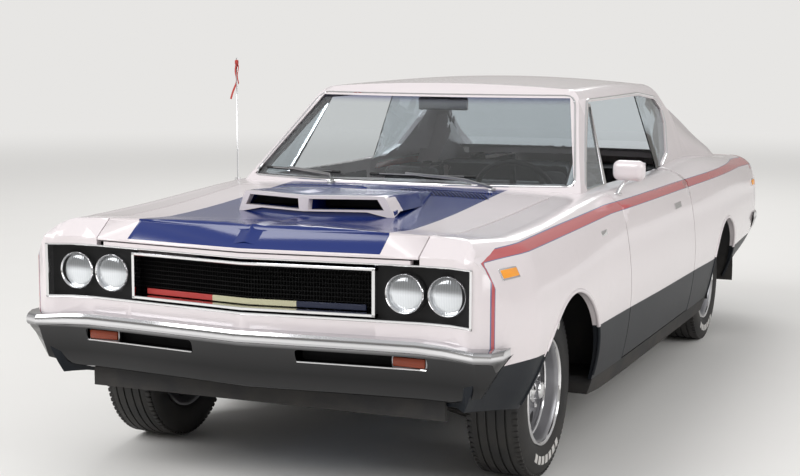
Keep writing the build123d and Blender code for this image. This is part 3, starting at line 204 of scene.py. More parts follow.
# louvre rows as (y, length, louvres beyond the setting), their first x, span and turn
SLOT_ROWS = ((-1.205, 0.125, 0), (-1.132, 0.020, 6))
SLOT_START, SLOT_SPAN, SLOT_TURN = 0.115, 0.345, 0.55
# middle of the outside mirror's head, and its turn in degrees
MIRROR_PLACE, MIRROR_TURN = (0.905, -0.622, 1.066), -8
# the ribbon's two tails, from the antenna in x and y, at heights z
RIBBON_TAILS = (((0.0, 0.0, 1.512), (-0.012, 0.004, 1.470), (-0.004, 0.012, 1.425),
                 (-0.026, 0.010, 1.380), (-0.034, 0.004, 1.345)),
                ((0.0, 0.0, 1.508), (0.016, -0.008, 1.488), (0.008, -0.014, 1.452),
                 (0.020, -0.020, 1.415)))
# in (y, z): drip rail from the windshield pillar's foot to behind the side window
DRIP_LINE = ((-0.812, 1.012), (-0.374, 1.329), (0.50, 1.336), (0.860, 1.309), (0.962, 1.258))
QUARTER_LINE = ((0.958, 1.240), (0.930, 1.174), (0.754, 1.040), (0.580, 0.998))
# windshield and rear window in (x, z)
SHIELD_OUTLINE = ((-0.748, 1.010), (0.748, 1.010), (0.612, 1.348), (-0.612, 1.348))
BACKLIGHT_OUTLINE = ((-0.648, 1.012), (0.648, 1.012), (0.546, 1.352), (-0.546, 1.352))

# Wheels: tread blocks, nuts and dashes, then profiles of (radius, distance outward from the
# wheel's middle)
TREAD_DEPTH, TREAD_RADIUS, TREAD_BLOCK = 0.0845, 0.3145, (0.010, 0.0165, 0.022)
NUT_DEPTH, NUT_RADIUS, NUT_COUNT = 0.045, 0.0603, 5
DASHES, DASH_STEP, DASH_LENGTH = 7, 9.5, 6.2        # count of a row; angles in degrees
HALF_TYRE = ((0.322, 0.0145), (0.3155, 0.015), (0.3155, 0.0215), (0.322, 0.022),
             (0.3218, 0.0485), (0.3150, 0.049), (0.3150, 0.0555), (0.3212, 0.056),
             (0.3195, 0.074), (0.3155, 0.0855), (0.3085, 0.0945), (0.298, 0.1005),
             (0.284, 0.1055), (0.268, 0.1078), (0.252, 0.1080), (0.236, 0.1062),
             (0.222, 0.1030), (0.212, 0.0985), (0.205, 0.0935), (0.2005, 0.088))
TYRE_PROFILE = tuple((r, -d) for r, d in reversed(HALF_TYRE)) + HALF_TYRE
DASH_PROFILE = ((0.243, 0.1065), (0.243, 0.1083), (0.252, 0.1090), (0.268, 0.1088),
                (0.274, 0.1078), (0.274, 0.1060))
RING_PROFILE = ((0.205, 0.088), (0.207, 0.0955), (0.2035, 0.1000), (0.1975, 0.1005),
                (0.1925, 0.0960), (0.1890, 0.0840), (0.1850, 0.0640), (0.1800, 0.0480),
                (0.1740, 0.0430), (0.1690, 0.0440), (0.1685, 0.0400))
CAP_PROFILE = ((0.047, 0.030), (0.047, 0.056), (0.043, 0.0590), (0.037, 0.0600), (0.034, 0.066),
               (0.032, 0.0830), (0.028, 0.0880), (0.018, 0.0915), (0.0, 0.0925))

# Dials as (x, turn of the needle), and the height they stand at
DIALS, DIAL_Z = ((0.265, -0.7), (0.370, 0.9), (0.475, 0.2)), 0.865

# Seats: distance from the middle line, remesh step, most swelling, frames of cloth, seams
SEAT_X = 0.4075
PAD_VOXEL = 0.010
PAD_CAP = 0.026
SWELL_FRAMES = 20
SEAM_REACH, SEAM_FACE, SEAM_DEPTH, SEAM_WIDTH = 0.46, 0.55, 0.0045, 0.006
SEAT_LEAN, BENCH_LEAN = -13.0, -14.0        # of their backs, in degrees

# Paint: the stripe's middle height and half width along the car, and its upright front leg
STRIPE_LINE = ((-2.39, 0.898), (-1.838, 0.912), (-0.976, 0.936), (0.447, 0.925),
               (1.898, 0.922), (2.42, 0.905))
STRIPE_HALF = ((-2.35, 0.016), (-0.5, 0.0185), (2.2, 0.0225))
STRIPE_LEAD_Y = -2.302
STRIPE_LEG = 0.0125
STRIPE_CORNERS = (0.040, 0.016)     # radii of its outer and inner corner
STRIPE_EDGE = 0.0026                # width of its edge lines
STRIPE_SIDE_X = 0.846               # nearer the middle line there is no stripe
# bands across the tail as (front end, rear end, colour), and the height they start at
TAIL_BANDS = ((2.265, 2.300, (0.50, 0.095, 0.10)), (2.330, 2.365, (0.0065, 0.018, 0.095)))
TAIL_BAND_LOW = 0.862
COWL_WHITE_Y = -0.955               # the blue of the hood ends here
# painted reflection and shade on a bumper's chrome: bright lip, dark hollow face and bright roll,
# as (height, share of the roll's tone)
BUMPER_PAINTED_REFLECTION = ((0.403, 0.35), (0.412, 0.075), (0.470, 0.05), (0.562, 0.08), (0.576, 0.45),
                (0.584, 1.0), (0.597, 0.90), (0.604, 0.42), (0.611, 0.95))
# headlamp lens and glass band: tones by height, the lens's being a painted reflection below and
# painted shade above; dust on enamel and on other finishes
LENS_PAINTED_LIGHT = ((0.700, 0.90), (0.765, 0.80), (0.790, 0.34), (0.83, 0.20))
ENAMEL_DUST, PLAIN_DUST = (0.10, 0.09, 0.075), (0.13, 0.115, 0.095)
SHADE_BAND, SHADE_ENDS = (0.22, 0.22, 0.40), (1.325, 1.375)
# plain finishes: name and colour, then the values of plain(): roughness, metallic, grain's
# scale and depth, dust, dirt, strength of the grain's relief, specular
FINISHES = (
    ("bright_plate", (0.80, 0.80, 0.81), 0.07, 1.0, 500.0, 0.2, 0.10, 0.08, 0.04),
    ("dull_plate", (0.42, 0.42, 0.43), 0.30, 1.0, 400.0, 0.3, 0.2, 0.2, 0.1),
    ("black_plastic", (0.005, 0.005, 0.0056), 0.45, 0.0, 700.0, 0.5, 0.05, 0.12, 0.25, 0.25),
    ("grille_black", (0.0022, 0.0022, 0.0026), 0.6, 0.0, 700.0, 0.5, 0.0, 0.12, 0.25, 0.25),
    ("signal_red", (0.24, 0.035, 0.008), 0.25, 0.0, 900.0, 0.5),
    # painted shade in the scoop's mouths, the bumper's slots and the hood's louvre slots; also the
    # dial faces' own black
    ("mouth_black", (0.003, 0.003, 0.004), 0.9),
    ("amber_lens", (0.72, 0.19, 0.015), 0.15, 0.0, 900.0, 0.5),
    ("red_lens", (0.30, 0.006, 0.006), 0.12, 0.0, 900.0, 0.5),
    ("undercoat", (0.014, 0.014, 0.016), 0.75, 0.0, 160.0, 0.8, 0.4, 0.3, 0.6),
    ("engine_enamel", (0.05, 0.10, 0.20), 0.45, 0.0, 120.0, 0.6, 0.2),
    ("raw_steel", (0.20, 0.18, 0.165), 0.5, 0.9, 120.0, 0.6, 0.4, 0.4, 0.4),
    ("seat_vinyl", (0.014, 0.014, 0.016), 0.40, 0.0, 900.0, 0.8, 0.0, 0.2, 0.5),
    ("rubber", (0.013, 0.013, 0.014), 0.66, 0.0, 420.0, 0.5, 0.18, 0.15, 0.22),
    ("white_rubber", (0.70, 0.68, 0.66), 0.62, 0.0, 300.0, 0.4, 0.1),
    ("wheel_silver", (0.34, 0.34, 0.36), 0.30, 0.7, 500.0, 0.3, 0.2, 0.15, 0.1),
    ("bar_red", (0.42, 0.03, 0.025), 0.35),
    ("bar_white", (0.52, 0.50, 0.33), 0.35),
    ("bar_blue", (0.004, 0.009, 0.035), 0.45),
    ("ribbon_red", (0.45, 0.05, 0.04), 0.7, 0.0, 700.0, 0.6))

# Stage: lamps as (name, setting of its power, width, place), what they aim at, and the floor
LAMPS = (("key_light", "key_power", 7.0, (-5.5, -8.5, 8.5)),
         ("fill_light", "fill_power", 6.0, (9.0, -3.0, 5.5)),
         ("back_light", "fill_power", 6.0, (-3.0, 9.5, 7.5)))
LAMP_AIM = Vector((0, 0, 0.6))
FLOOR_RADIUS, FLOOR_FADE = 60.0, (7.0, 22.0)
BACKGROUND = (0.80, 0.79, 0.775)


# Sizes and colours that a user may change

def colour(name, description, default):
    """A colour property with its default."""
    return bpy.props.FloatVectorProperty(name=name, description=description, size=3,
                                         subtype="COLOR", min=0.0, max=1.0, default=default)


def number(name, description, default, **more):
    """A number property with its default."""
    return bpy.props.FloatProperty(name=name, description=description, default=default, **more)


def length(name, description, default):
    """A length property in metres with its default."""
    return number(name, description, default, unit="LENGTH", subtype="DISTANCE", precision=4)


class StageSettings(bpy.types.PropertyGroup):
    """Camera, lights and floor."""
    camera_place: bpy.props.FloatVectorProperty(
        name="Camera place", description="Where the camera stands", size=3,
        subtype="TRANSLATION", unit="LENGTH", default=(2.4763, -6.8379, 1.5836))
    camera_heading: number("Heading", "Turn of the view to the left of straight ahead",
                           math.radians(22.878), subtype="ANGLE")
    camera_dip: number("Dip", "How far the view looks down", math.radians(7.275),
                       subtype="ANGLE")
    camera_roll: number("Roll", "Lean of the camera", math.radians(0.223), subtype="ANGLE")
    focal_pixels: number("Focal length in pixels", "For a picture 800 pixels wide", 1501.5)
    floor_colour: colour("Floor", "Pale studio floor", (0.80, 0.79, 0.77))
    key_power: number("Key light", "Power of the large lamp", 900.0, unit="POWER")
    fill_power: number("Fill light", "Power of the side lamp and the lamp behind", 350.0,
                       unit="POWER")
    sky_strength: number("Sky", "Strength of the soft sky", 0.62)


class PaintSettings(bpy.types.PropertyGroup):
    """Body colours and the lines between them."""
    white: colour("White", "Body colour", (0.76, 0.70, 0.715))
    blue: colour("Blue", "Hood colour", (0.004, 0.020, 0.150))
    red: colour("Red", "Side stripe", (0.50, 0.095, 0.10))
    stripe_edge: colour("Stripe edge", "Thin lines along the stripe", (0.14, 0.15, 0.27))
    # the lower body's dark blue paint, darkened further as painted shade
    lower: colour("Lower body", "Dark paint below the doors", (0.006, 0.009, 0.014))
    hood_half: length("Blue half width", "Half width of the blue on the hood", 0.493)
    lip_height: length("Lip strip", "Top of the white strip on the hood's front edge", 0.897)


class TrimSettings(bpy.types.PropertyGroup):
    """Sizes and counts of bright and fitted pieces."""
    drip_radius: length("Drip rail", "Radius of the bright drip rails", 0.0055)
    window_radius: length("Window trim", "Radius of the bright window trim", 0.0045)
    nut_size: length("Wheel nut", "Width of a wheel nut", 0.021)
    tread_blocks: bpy.props.IntProperty(name="Tread blocks", default=84, min=12,
                                        description="Blocks round each shoulder of a tyre")
    louvres: bpy.props.IntProperty(name="Louvres", default=22, min=2,
                                   description="Slots on each side of the hood's rear edge")


def stage_settings():
    return bpy.context.scene.car_stage


def paint_settings():
    return bpy.context.scene.car_paint


def trim_settings():
    return bpy.context.scene.car_trim


# Node trees

class Tree:
    """Short calls that add and join nodes of one tree."""

    def __init__(self, tree):
        self.tree = tree

    def add(self, kind, settings=None, **sockets):
        """A new node with its settings and the values or links of its inputs."""
        node = self.tree.nodes.new(kind)
        for key, value in (settings or {}).items():
            setattr(node, key, value)
        return self.feed(node, **sockets)

    def feed(self, node, **sockets):
        """Give inputs their values or links; an underscore stands for a space."""
        for key, value in sockets.items():
            self.put(node.inputs[key.replace("_", " ")], value)
        return node

    def use(self, name, **sockets):
        """A shared group placed in this tree."""
        return self.add("ShaderNodeGroup", {"node_tree": bpy.data.node_groups[name]}, **sockets)

    def xyz(self, place):
        """The three coordinates of a place."""
        return self.add("ShaderNodeSeparateXYZ", Vector=place).outputs[:3]

    def mix_shader(self, factor, first, second):
        """Shader between two shaders."""
        node = self.add("ShaderNodeMixShader")
        for socket, value in zip(node.inputs, (factor, first, second)):
            self.put(socket, value)
        return node.outputs[0]

    def put(self, socket, value):
        """Join a link to an input, or set its value."""
        if isinstance(value, bpy.types.NodeSocket):
            self.tree.links.new(value, socket)
        else:
            socket.default_value = value

    def math(self, operation, *values, clamp=False):
        """Result of one Math node."""
        node = self.tree.nodes.new("ShaderNodeMath")
        node.operation, node.use_clamp = operation, clamp
        for i, value in enumerate(values):
            self.put(node.inputs[i], value)
        return node.outputs[0]

    def product(self, first, *others):
        """Product of several values."""
        for value in others:
            first = self.math("MULTIPLY", first, value)
        return first

    def mix(self, factor, first, second, blend="MIX"):
        """Colour between two colours."""
        node = self.tree.nodes.new("ShaderNodeMix")
        node.data_type, node.blend_type = "RGBA", blend
        for name, value in (("Factor", factor), ("A", first), ("B", second)):
            sockets = [s for s in node.inputs if s.name == name and s.enabled]
            self.put(sockets[0], value)
        return [s for s in node.outputs if s.enabled][0]

    def ramp(self, value, low, high):
        """Smooth step of a value between two bounds."""
        node = self.add("ShaderNodeMapRange", {"interpolation_type": "SMOOTHSTEP"},
                        Value=value, From_Min=low, From_Max=high)
        return node.outputs[0]

    def line(self, value, points):
        """Piecewise straight function of a value, through points (input, result)."""
        result = points[0][1]
        for (a, b), (c, d) in zip(points, points[1:]):
            part = self.add("ShaderNodeMapRange", Value=value, From_Min=a, From_Max=c,
                            To_Min=0.0, To_Max=d - b).outputs[0]
            result = self.math("ADD", result, part)
        return result


def rgba(values):
    """A colour with full opacity."""
    return (*values, 1.0)


def group(name, inputs, outputs):
    """A shader node group with named sockets, and its Tree."""
    tree = bpy.data.node_groups.new(name, "ShaderNodeTree")
    kinds = {"value": "NodeSocketFloat", "vector": "NodeSocketVector"}
    for label, kind, default in inputs:
        socket = tree.interface.new_socket(name=label, in_out="INPUT", socket_type=kinds[kind])
        if default is not None:
            socket.default_value = default
    for label, kind in outputs:
        tree.interface.new_socket(name=label, in_out="OUTPUT", socket_type=kinds[kind])
    made = Tree(tree)
    return made, made.add("NodeGroupInput"), made.add("NodeGroupOutput")


def build_groups():
    """Effects that several finishes share."""
    t, start, end = group("Surface Grain", [("Place", "vector", None), ("Scale", "value", 200.0),
                                            ("Depth", "value", 0.5)],
                          [("Height", "value"), ("Shade", "value")])
    place = start.outputs["Place"]
    fine = t.add("ShaderNodeTexNoise", Vector=place, Scale=start.outputs["Scale"], Detail=3.0,
                 Roughness=0.6).outputs[0]
    broad = t.add("ShaderNodeTexNoise", Vector=place, Scale=3.0, Detail=2.0).outputs[0]
    t.feed(end, Height=t.product(fine, start.outputs["Depth"]),
           Shade=t.math("ADD", t.product(broad, 0.7), t.product(fine, 0.3)))

    t, start, end = group("Road Dust", [("Place", "vector", None), ("Top", "value", 0.5),
                                        ("Amount", "value", 0.4)], [("Mask", "value")])
    place = start.outputs["Place"]
    fall = t.math("SUBTRACT", 1.0, t.ramp(t.xyz(place)[2], 0.02, start.outputs["Top"]))
    cloud = t.add("ShaderNodeTexNoise", Vector=place, Scale=9.0, Detail=5.0)
    blotch = t.ramp(cloud.outputs[0], 0.25, 0.75)
    t.feed(end, Mask=t.product(fall, blotch, start.outputs["Amount"]))

    t, start, end = group("Side Stripe", [("Place", "vector", None)],
                          [("Red", "value"), ("Edge", "value")])
    across, along, up = t.xyz(start.outputs["Place"])
    middle, half = t.line(along, STRIPE_LINE), t.line(along, STRIPE_HALF)
    outer = corner_distance(t, along, up, STRIPE_LEAD_Y, t.math("ADD", middle, half),
                            STRIPE_CORNERS[0])
    inner = corner_distance(t, along, up, STRIPE_LEAD_Y + STRIPE_LEG,
                            t.math("SUBTRACT", middle, half), STRIPE_CORNERS[1])
    red = t.product(t.math("LESS_THAN", outer, 0.0), t.math("GREATER_THAN", inner, 0.0))
    near = t.math("MINIMUM", t.math("ABSOLUTE", outer), t.math("ABSOLUTE", inner))
    edge = t.product(red, t.math("LESS_THAN", near, STRIPE_EDGE))
    side = t.math("GREATER_THAN", t.math("ABSOLUTE", across), STRIPE_SIDE_X)
    t.feed(end, Red=t.product(red, side), Edge=t.product(edge, side))


def corner_distance(t, along, up, lead, top, radius):
    """Signed distance to a region behind a lead line and below a top line, corner rounded."""
    ahead = t.math("ADD", t.math("SUBTRACT", lead, along), radius)
    above = t.math("ADD", t.math("SUBTRACT", up, top), radius)
    squares = [t.math("POWER", t.math("MAXIMUM", part, 0.0), 2.0) for part in (ahead, above)]
    outside = t.math("SQRT", t.math("ADD", *squares))
    inside = t.math("MINIMUM", t.math("MAXIMUM", ahead, above), 0.0)
    return t.math("SUBTRACT", t.math("ADD", outside, inside), radius)


def material(name, **values):
    """A new material: its Tree, its Principled shader with values, and Object coordinates."""
    made = bpy.data.materials.new(name)
    made.use_nodes = True
    made.node_tree.nodes.clear()
    t = Tree(made.node_tree)
    shader = t.add("ShaderNodeBsdfPrincipled", **values)
    t.add("ShaderNodeOutputMaterial", Surface=shader.outputs[0])
    return t, shader, t.add("ShaderNodeTexCoord").outputs["Object"]


def bump(t, shader, height, strength, distance):
    """Feed a height into the shader's normal."""
    node = t.add("ShaderNodeBump", Height=height, Strength=strength, Distance=distance)
    t.feed(shader, Normal=node.outputs[0])


def enamel(name, base_of, coat=0.5):
    """Glossy enamel over a colour that base_of works out from the place on the car."""
    t, shader, place = material(name, Coat_Weight=coat, Coat_Roughness=0.05)
    grain = t.use("Surface Grain", Place=place, Scale=420.0, Depth=0.4)
    dust = t.use("Road Dust", Place=place, Top=0.46, Amount=0.22).outputs["Mask"]
    shade = t.mix(t.product(grain.outputs["Shade"], 0.16), base_of(t, place),
                  rgba((0.80, 0.80, 0.82)), "MULTIPLY")
    t.feed(shader, Base_Color=t.mix(dust, shade, rgba(ENAMEL_DUST)),
           Roughness=t.math("ADD", 0.17, t.product(dust, 0.9)))
    bump(t, shader, grain.outputs["Height"], 0.05, 0.0004)


def body_colour(t, place):
    """White, with a red stripe on the sides and bands across the tail."""
    paint = paint_settings()
    stripe = t.use("Side Stripe", Place=place)
    _, along, up = t.xyz(place)
    base = t.mix(stripe.outputs["Red"], rgba(paint.white), rgba(paint.red))
    base = t.mix(stripe.outputs["Edge"], base, rgba(paint.stripe_edge))
    for y0, y1, tint in TAIL_BANDS:
        band = t.product(t.math("GREATER_THAN", along, y0), t.math("LESS_THAN", along, y1),
                         t.math("GREATER_THAN", up, TAIL_BAND_LOW))
        base = t.mix(band, base, rgba(tint))
    return base


def hood_colour(t, place):
    """Blue middle between white margins, with a white strip along the front edge."""
    paint = paint_settings()
    across, along, up = t.xyz(place)
    inside = t.math("LESS_THAN", t.math("ABSOLUTE", across), paint.hood_half)
    above = t.math("GREATER_THAN", up, paint.lip_height)
    ahead = t.math("LESS_THAN", along, COWL_WHITE_Y)
    return t.mix(t.product(inside, above, ahead), rgba(paint.white), rgba(paint.blue))


def scoop_colour(t, place):
    """Blue scoop with a white lip round its mouths."""
    paint = paint_settings()
    across, along, _ = t.xyz(place)
    aside = t.math("ABSOLUTE", across)
    lean = t.product(aside, SCOOP_BEND / SCOOP_HALF)
    behind = t.math("SUBTRACT", t.math("SUBTRACT", along, SCOOP_TIP_Y), lean)
    cheek = t.math("GREATER_THAN", aside, SCOOP_CHEEK_X)
    reach = t.math("ADD", t.product(cheek, SCOOP_CHEEK), SCOOP_LIP_DEPTH)
    return t.mix(t.math("LESS_THAN", behind, reach), rgba(paint.blue), rgba(paint.white))


def plain(name, tint, roughness, metallic=0.0, scale=300.0, depth=0.3, dust=0.0, dirt=0.12,
          bump_strength=0.25, specular=0.5):
    """A finish of one colour with grain, slight shade changes and dust."""
    t, shader, place = material(name, Metallic=metallic, Specular_IOR_Level=specular)
    grain = t.use("Surface Grain", Place=place, Scale=scale, Depth=depth)
    base = t.mix(t.product(grain.outputs["Shade"], dirt * 2), rgba(tint),
                 rgba(c * 0.55 for c in tint))
    if dust:
        cover = t.use("Road Dust", Place=place, Top=0.7, Amount=dust).outputs["Mask"]
        base = t.mix(cover, base, rgba(PLAIN_DUST))
        roughness = t.math("ADD", roughness, t.product(cover, 0.4), clamp=True)
    t.feed(shader, Base_Color=base, Roughness=roughness)
    bump(t, shader, grain.outputs["Height"], bump_strength, 0.0008)
    return t, shader, place


def clear_glass(name, tint, band=None):
    """Window glass, with a darker band along its top edge where asked."""
    t, shader, place = material(name, Transmission_Weight=1.0, IOR=1.45)
    grain = t.use("Surface Grain", Place=place, Scale=60.0, Depth=0.2)
    base = rgba(tint)
    if band:
        base = t.mix(t.ramp(t.xyz(place)[2], *band), base, rgba(SHADE_BAND))
    t.feed(shader, Base_Color=base, Roughness=t.product(grain.outputs["Shade"], 0.015))


def bumper_plate():
    """Chrome with painted reflection and shade: its hollow lower face painted darker than the roll
    along its top.
    """
    t, shader, place = plain("bumper_plate", (0.80, 0.80, 0.82), 0.08, 1.0, 500.0, 0.2, 0.10,
                             0.08, 0.04)
    chrome = shader.inputs["Base Color"].links[0].from_socket
    # painted reflection and shade: the chrome's colour is scaled by bands of tone by height
    tone = t.line(t.xyz(place)[2], BUMPER_PAINTED_REFLECTION)
    gray = t.add("ShaderNodeCombineColor", Red=tone, Green=tone, Blue=tone)
    t.feed(shader, Base_Color=t.mix(1.0, chrome, gray.outputs[0], "MULTIPLY"))


def lamp_lens():
    """Fluted lens over a bright bowl, with painted light: a bright painted reflection below,
    painted shade towards the top.
    """
    t, shader, place = material("lamp_lens", Metallic=0.55, Coat_Weight=1.0, Coat_Roughness=0.03)
    across, _, up = t.xyz(place)
    flutes = t.math("SINE", t.product(across, 700.0))
    bands = t.math("SINE", t.product(up, 260.0))
    # painted light: the lens is bright below as a painted reflection and darker above as painted
    # shade
    tone = t.math("ADD", t.line(up, LENS_PAINTED_LIGHT), t.product(flutes, 0.025))
    tint = t.add("ShaderNodeCombineColor", Red=t.product(tone, 0.92),
                 Green=t.product(tone, 0.96), Blue=tone)
    t.feed(shader, Base_Color=tint.outputs[0],
           Roughness=t.math("ADD", 0.10, t.product(flutes, 0.03)))
    bump(t, shader, t.math("ADD", flutes, t.product(bands, 0.5)), 0.22, 0.0006)


def build_materials():
    """Every finish of the car."""
    build_groups()
    enamel("white_enamel", body_colour)
    enamel("hood_enamel", hood_colour, 0.15)
    enamel("scoop_enamel", scoop_colour, 0.15)
    enamel("blue_enamel", lambda t, place: rgba(paint_settings().blue), 0.15)
    enamel("plain_white", lambda t, place: rgba(paint_settings().white))
    clear_glass("window_glass", (0.74, 0.80, 0.84))
    clear_glass("windshield_glass", (0.66, 0.70, 0.72), band=SHADE_ENDS)
    bumper_plate()
    lamp_lens()
    for finish in FINISHES:
        plain(*finish)
    # dark blue lower paint, partly painted shade
    plain("lower_enamel", paint_settings().lower, 0.42, 0.0, 420.0, 0.4, 0.10, specular=0.22)


def finish_of(name):
    return bpy.data.materials[name]


# Mesh helpers

def give(obj, finish):
    """Set an object's only material."""
    obj.data.materials.clear()
    obj.data.materials.append(finish_of(finish))
    return obj


def linked(name, data):
    """New object of some data, in the scene."""
    obj = bpy.data.objects.new(name, data)
    bpy.context.scene.collection.objects.link(obj)
    return obj


def new_object(name, mesh, finish, body="root"):
    """Object of a finished mesh that rides on a body."""
    obj = linked(name, mesh)
    if finish:
        give(obj, finish)
    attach(obj, body)
    return obj


def worked_out(obj, *helpers):
    """Mesh that an object's modifiers make; the object and its helpers are removed."""
    graph = bpy.context.evaluated_depsgraph_get()
    mesh = bpy.data.meshes.new_from_object(obj.evaluated_get(graph), depsgraph=graph)
    for spent in (obj, *helpers):
        bpy.data.objects.remove(spent)
    return mesh


def mesh_from(name, bm, angle=35.0):
    """Turn a bmesh into a mesh with smooth shading up to an angle."""
    mesh = bpy.data.meshes.new(name)
    bm.normal_update()
    bm.to_mesh(mesh)
    bm.free()
    shade(mesh, angle)
    return mesh


def shade(mesh, angle):
    """Smooth shading, with edges sharper than angle kept crisp."""
    mesh.polygons.foreach_set("use_smooth", [True] * len(mesh.polygons))
    mesh.set_sharp_from_angle(angle=math.radians(angle))
    mesh.update()


def sliced(bm, point, normal):
    """Cut all faces of a bmesh along a plane."""
    bmesh.ops.bisect_plane(bm, geom=bm.verts[:] + bm.edges[:] + bm.faces[:], dist=MERGE,
                           plane_co=point, plane_no=normal)


def smooth_copy(node, finish, angle=28.0, cuts=(), shape=None, low=None):
    """Merged smooth copy of a CAD node, cut by planes and reshaped, shown in its place."""
    source = FRAME["nodes"][node]
    bm = bmesh.new()
    bm.from_mesh(source.data)
    bmesh.ops.remove_doubles(bm, verts=bm.verts, dist=MERGE)
    bmesh.ops.dissolve_degenerate(bm, edges=bm.edges, dist=MERGE)
    for axis, places in cuts:
        for place in places:
            sliced(bm, AXES[axis] * place, AXES[axis])
    if shape:
        for vert in bm.verts:
            vert.co = shape(vert.co)
    if low:
        sliced(bm, LOWER_POINT, LOWER_NORMAL)
    name = node + "_finish"
    obj = new_object(name, mesh_from(name, bm, angle), finish, source["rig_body"])
    if low:
        lower_part(obj, low)
    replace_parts(obj, node)
    return obj


def lower_part(obj, finish):
    """Second finish on the faces below the lower body's line."""
    obj.data.materials.append(finish_of(finish))
    for face in obj.data.polygons:
        if (face.center - LOWER_POINT).dot(LOWER_NORMAL) < 0:
            face.material_index = 1


def along_line(points, value):
    """Piecewise straight function through points (input, result)."""
    for (a, b), (c, d) in zip(points, points[1:]):
        if value <= c:
            return b + (d - b) * max(0.0, value - a) / (c - a)
    return points[-1][1]


def smooth_share(start, end, value):
    """0 at start, 1 at end, eased between them."""
    share = min(1.0, max(0.0, (value - start) / (end - start)))
    return share * share * (3 - 2 * share)


def shown(point):
    """Place on the shown car of a point of the CAD shell: a shallower nose, a taller cabin."""
    x, y, z = point
    if z > BELT_Z:
        z += (z - BELT_Z) * ROOF_SHARE * smooth_share(*ROOF_FADE, y)
    amount = smooth_share(*NOSE_FADE, y)
    if amount:
        side = abs(x)
        wide = side + along_line(NOSE_WIDTHS, side) * amount
        setback = along_line(NOSE_PLAN, wide) - along_line(CAD_NOSE_PLAN, side)
        y += (NOSE_Y - CAD_NOSE_Y + setback) * amount
        y += BACK_SET * math.prod(smooth_share(*fade, value)
                                  for fade, value in zip(BACK_FADES, (z, side, y)))
        z += along_line(NOSE_RISES, z) * amount
        x = math.copysign(wide, x)
    return Vector((x, y, z))


def loft(bm, rows, closed=True, around=False):
    """Faces between rows of points; closed rows get caps, unless the last joins the first."""
    rows = [[bm.verts.new(p) for p in row] for row in rows]
    for a, b in zip(rows, rows[1:] + (rows[:1] if around else [])):
        for k in range(len(a) if closed else len(a) - 1):
            n = (k + 1) % len(a)
            bm.faces.new((a[k], a[n], b[n], b[k]))
    if closed and not around:
        bm.faces.new(rows[0][::-1])
        bm.faces.new(rows[-1])


def section(profile, place, turn):
    """Points of a profile of (radius, distance) at a turn about the y axis of a place."""
    return [place @ Vector((r * math.cos(turn), d, r * math.sin(turn))) for r, d in profile]


def turns_of(ends, steps):
    """Angles at equal steps between two ends given in degrees."""
    low, high = ends
    return [math.radians(low + i * (high - low) / steps) for i in range(steps + 1)]


def turned(bm, profile, place, segments=48, closed=True):
    """Spin a profile of (radius, distance) about the y axis of a place."""
    loft(bm, [section(profile, place, 2 * math.pi * i / segments) for i in range(segments)],
         closed and profile[0][0] > 0, True)


def lathe(name, profile, place, finish, body, segments, angle):
    """Piece spun from an open profile of (radius, distance) about the x axis of a place."""
    bm = bmesh.new()
    turned(bm, profile, place @ SIDEWAYS, segments, False)
    return closed_piece(name, bm, finish, body, angle)


SEARCH_TREES = {}


def search_tree(node):
    """Ray search over the shown copy of a CAD node."""
    if node not in SEARCH_TREES:
        mesh = bpy.data.objects[node + "_finish"].data
        SEARCH_TREES[node] = BVHTree.FromPolygons([v.co.copy() for v in mesh.vertices],
                                                  [tuple(p.vertices) for p in mesh.polygons])
    return SEARCH_TREES[node]


def skin_point(nodes, start, heading):
    """Nearest place where a ray meets one of the nodes, and the normal towards its start."""
    heading = Vector(heading)
    hits = [search_tree(node).ray_cast(Vector(start), heading) for node in nodes]
    hits = [hit for hit in hits if hit[0] is not None]
    if not hits:
        raise ValueError("no surface of %s ahead of %s" % (nodes, tuple(start)))
    place, normal, _, _ = min(hits, key=lambda hit: hit[3])
    return place, -normal if normal.dot(heading) > 0 else normal


def beside(nodes, side, y, z):
    """Place and normal on the nodes' outer side."""
    return skin_point(nodes, (side * RAY_SIDE, y, z), (-side, 0, 0))


def above(nodes, x, y):
    """Place and normal on top of the nodes."""
    return skin_point(nodes, (x, y, RAY_TOP), (0, 0, -1))


def spaced(points, step):
    """Points of a polyline at about equal steps."""
    made = [Vector(points[0])]
    for a, b in zip(points, points[1:]):
        a, b = Vector(a), Vector(b)
        count = max(1, round((b - a).length / step))
        made += [a.lerp(b, i / count) for i in range(1, count + 1)]
    return made


def eased(points, reach=0.03, closed=False):
    """Polyline whose corners are rounded over a reach on both sides."""
    points = [Vector(p) for p in points]
    made = []
    for i, corner in enumerate(points):
        if not closed and i in (0, len(points) - 1):
            made.append(corner)
            continue
        before, after = points[i - 1], points[(i + 1) % len(points)]
        start = corner + (before - corner).normalized() * min(reach, (before - corner).length / 2)
        end = corner + (after - corner).normalized() * min(reach, (after - corner).length / 2)
        for k in range(5):
            t = k / 4
            made.append(start * (1 - t) ** 2 + corner * 2 * t * (1 - t) + end * t * t)
    return made


def bar(bm, points, radius, sides=8, closed=False, flatten=1.0):
    """Round or flattened bar along points."""
    points = [Vector(p) for p in points]
    count, rings, up = len(points), [], None
    for i, point in enumerate(points):
        before = points[i - 1] if i or closed else point
        after = points[(i + 1) % count] if i + 1 < count or closed else point
        along = (after - before).normalized()
        up = along.orthogonal() if up is None else up - along * up.dot(along)
        up.normalize()
        side = along.cross(up) * flatten
        turns = [2 * math.pi * k / sides for k in range(sides)]
        rings.append([point + (up * math.cos(turn) + side * math.sin(turn)) * radius
                      for turn in turns])
    loft(bm, rings, True, closed)


def axes(point, along, outward):
    """Matrix at a point: x along, z outward."""
    z = Vector(outward).normalized()
    x = Vector(along) - z * Vector(along).dot(z)
    x.normalize()
    turn = Matrix((x, z.cross(x), z)).transposed().to_4x4()
    return Matrix.Translation(point) @ turn


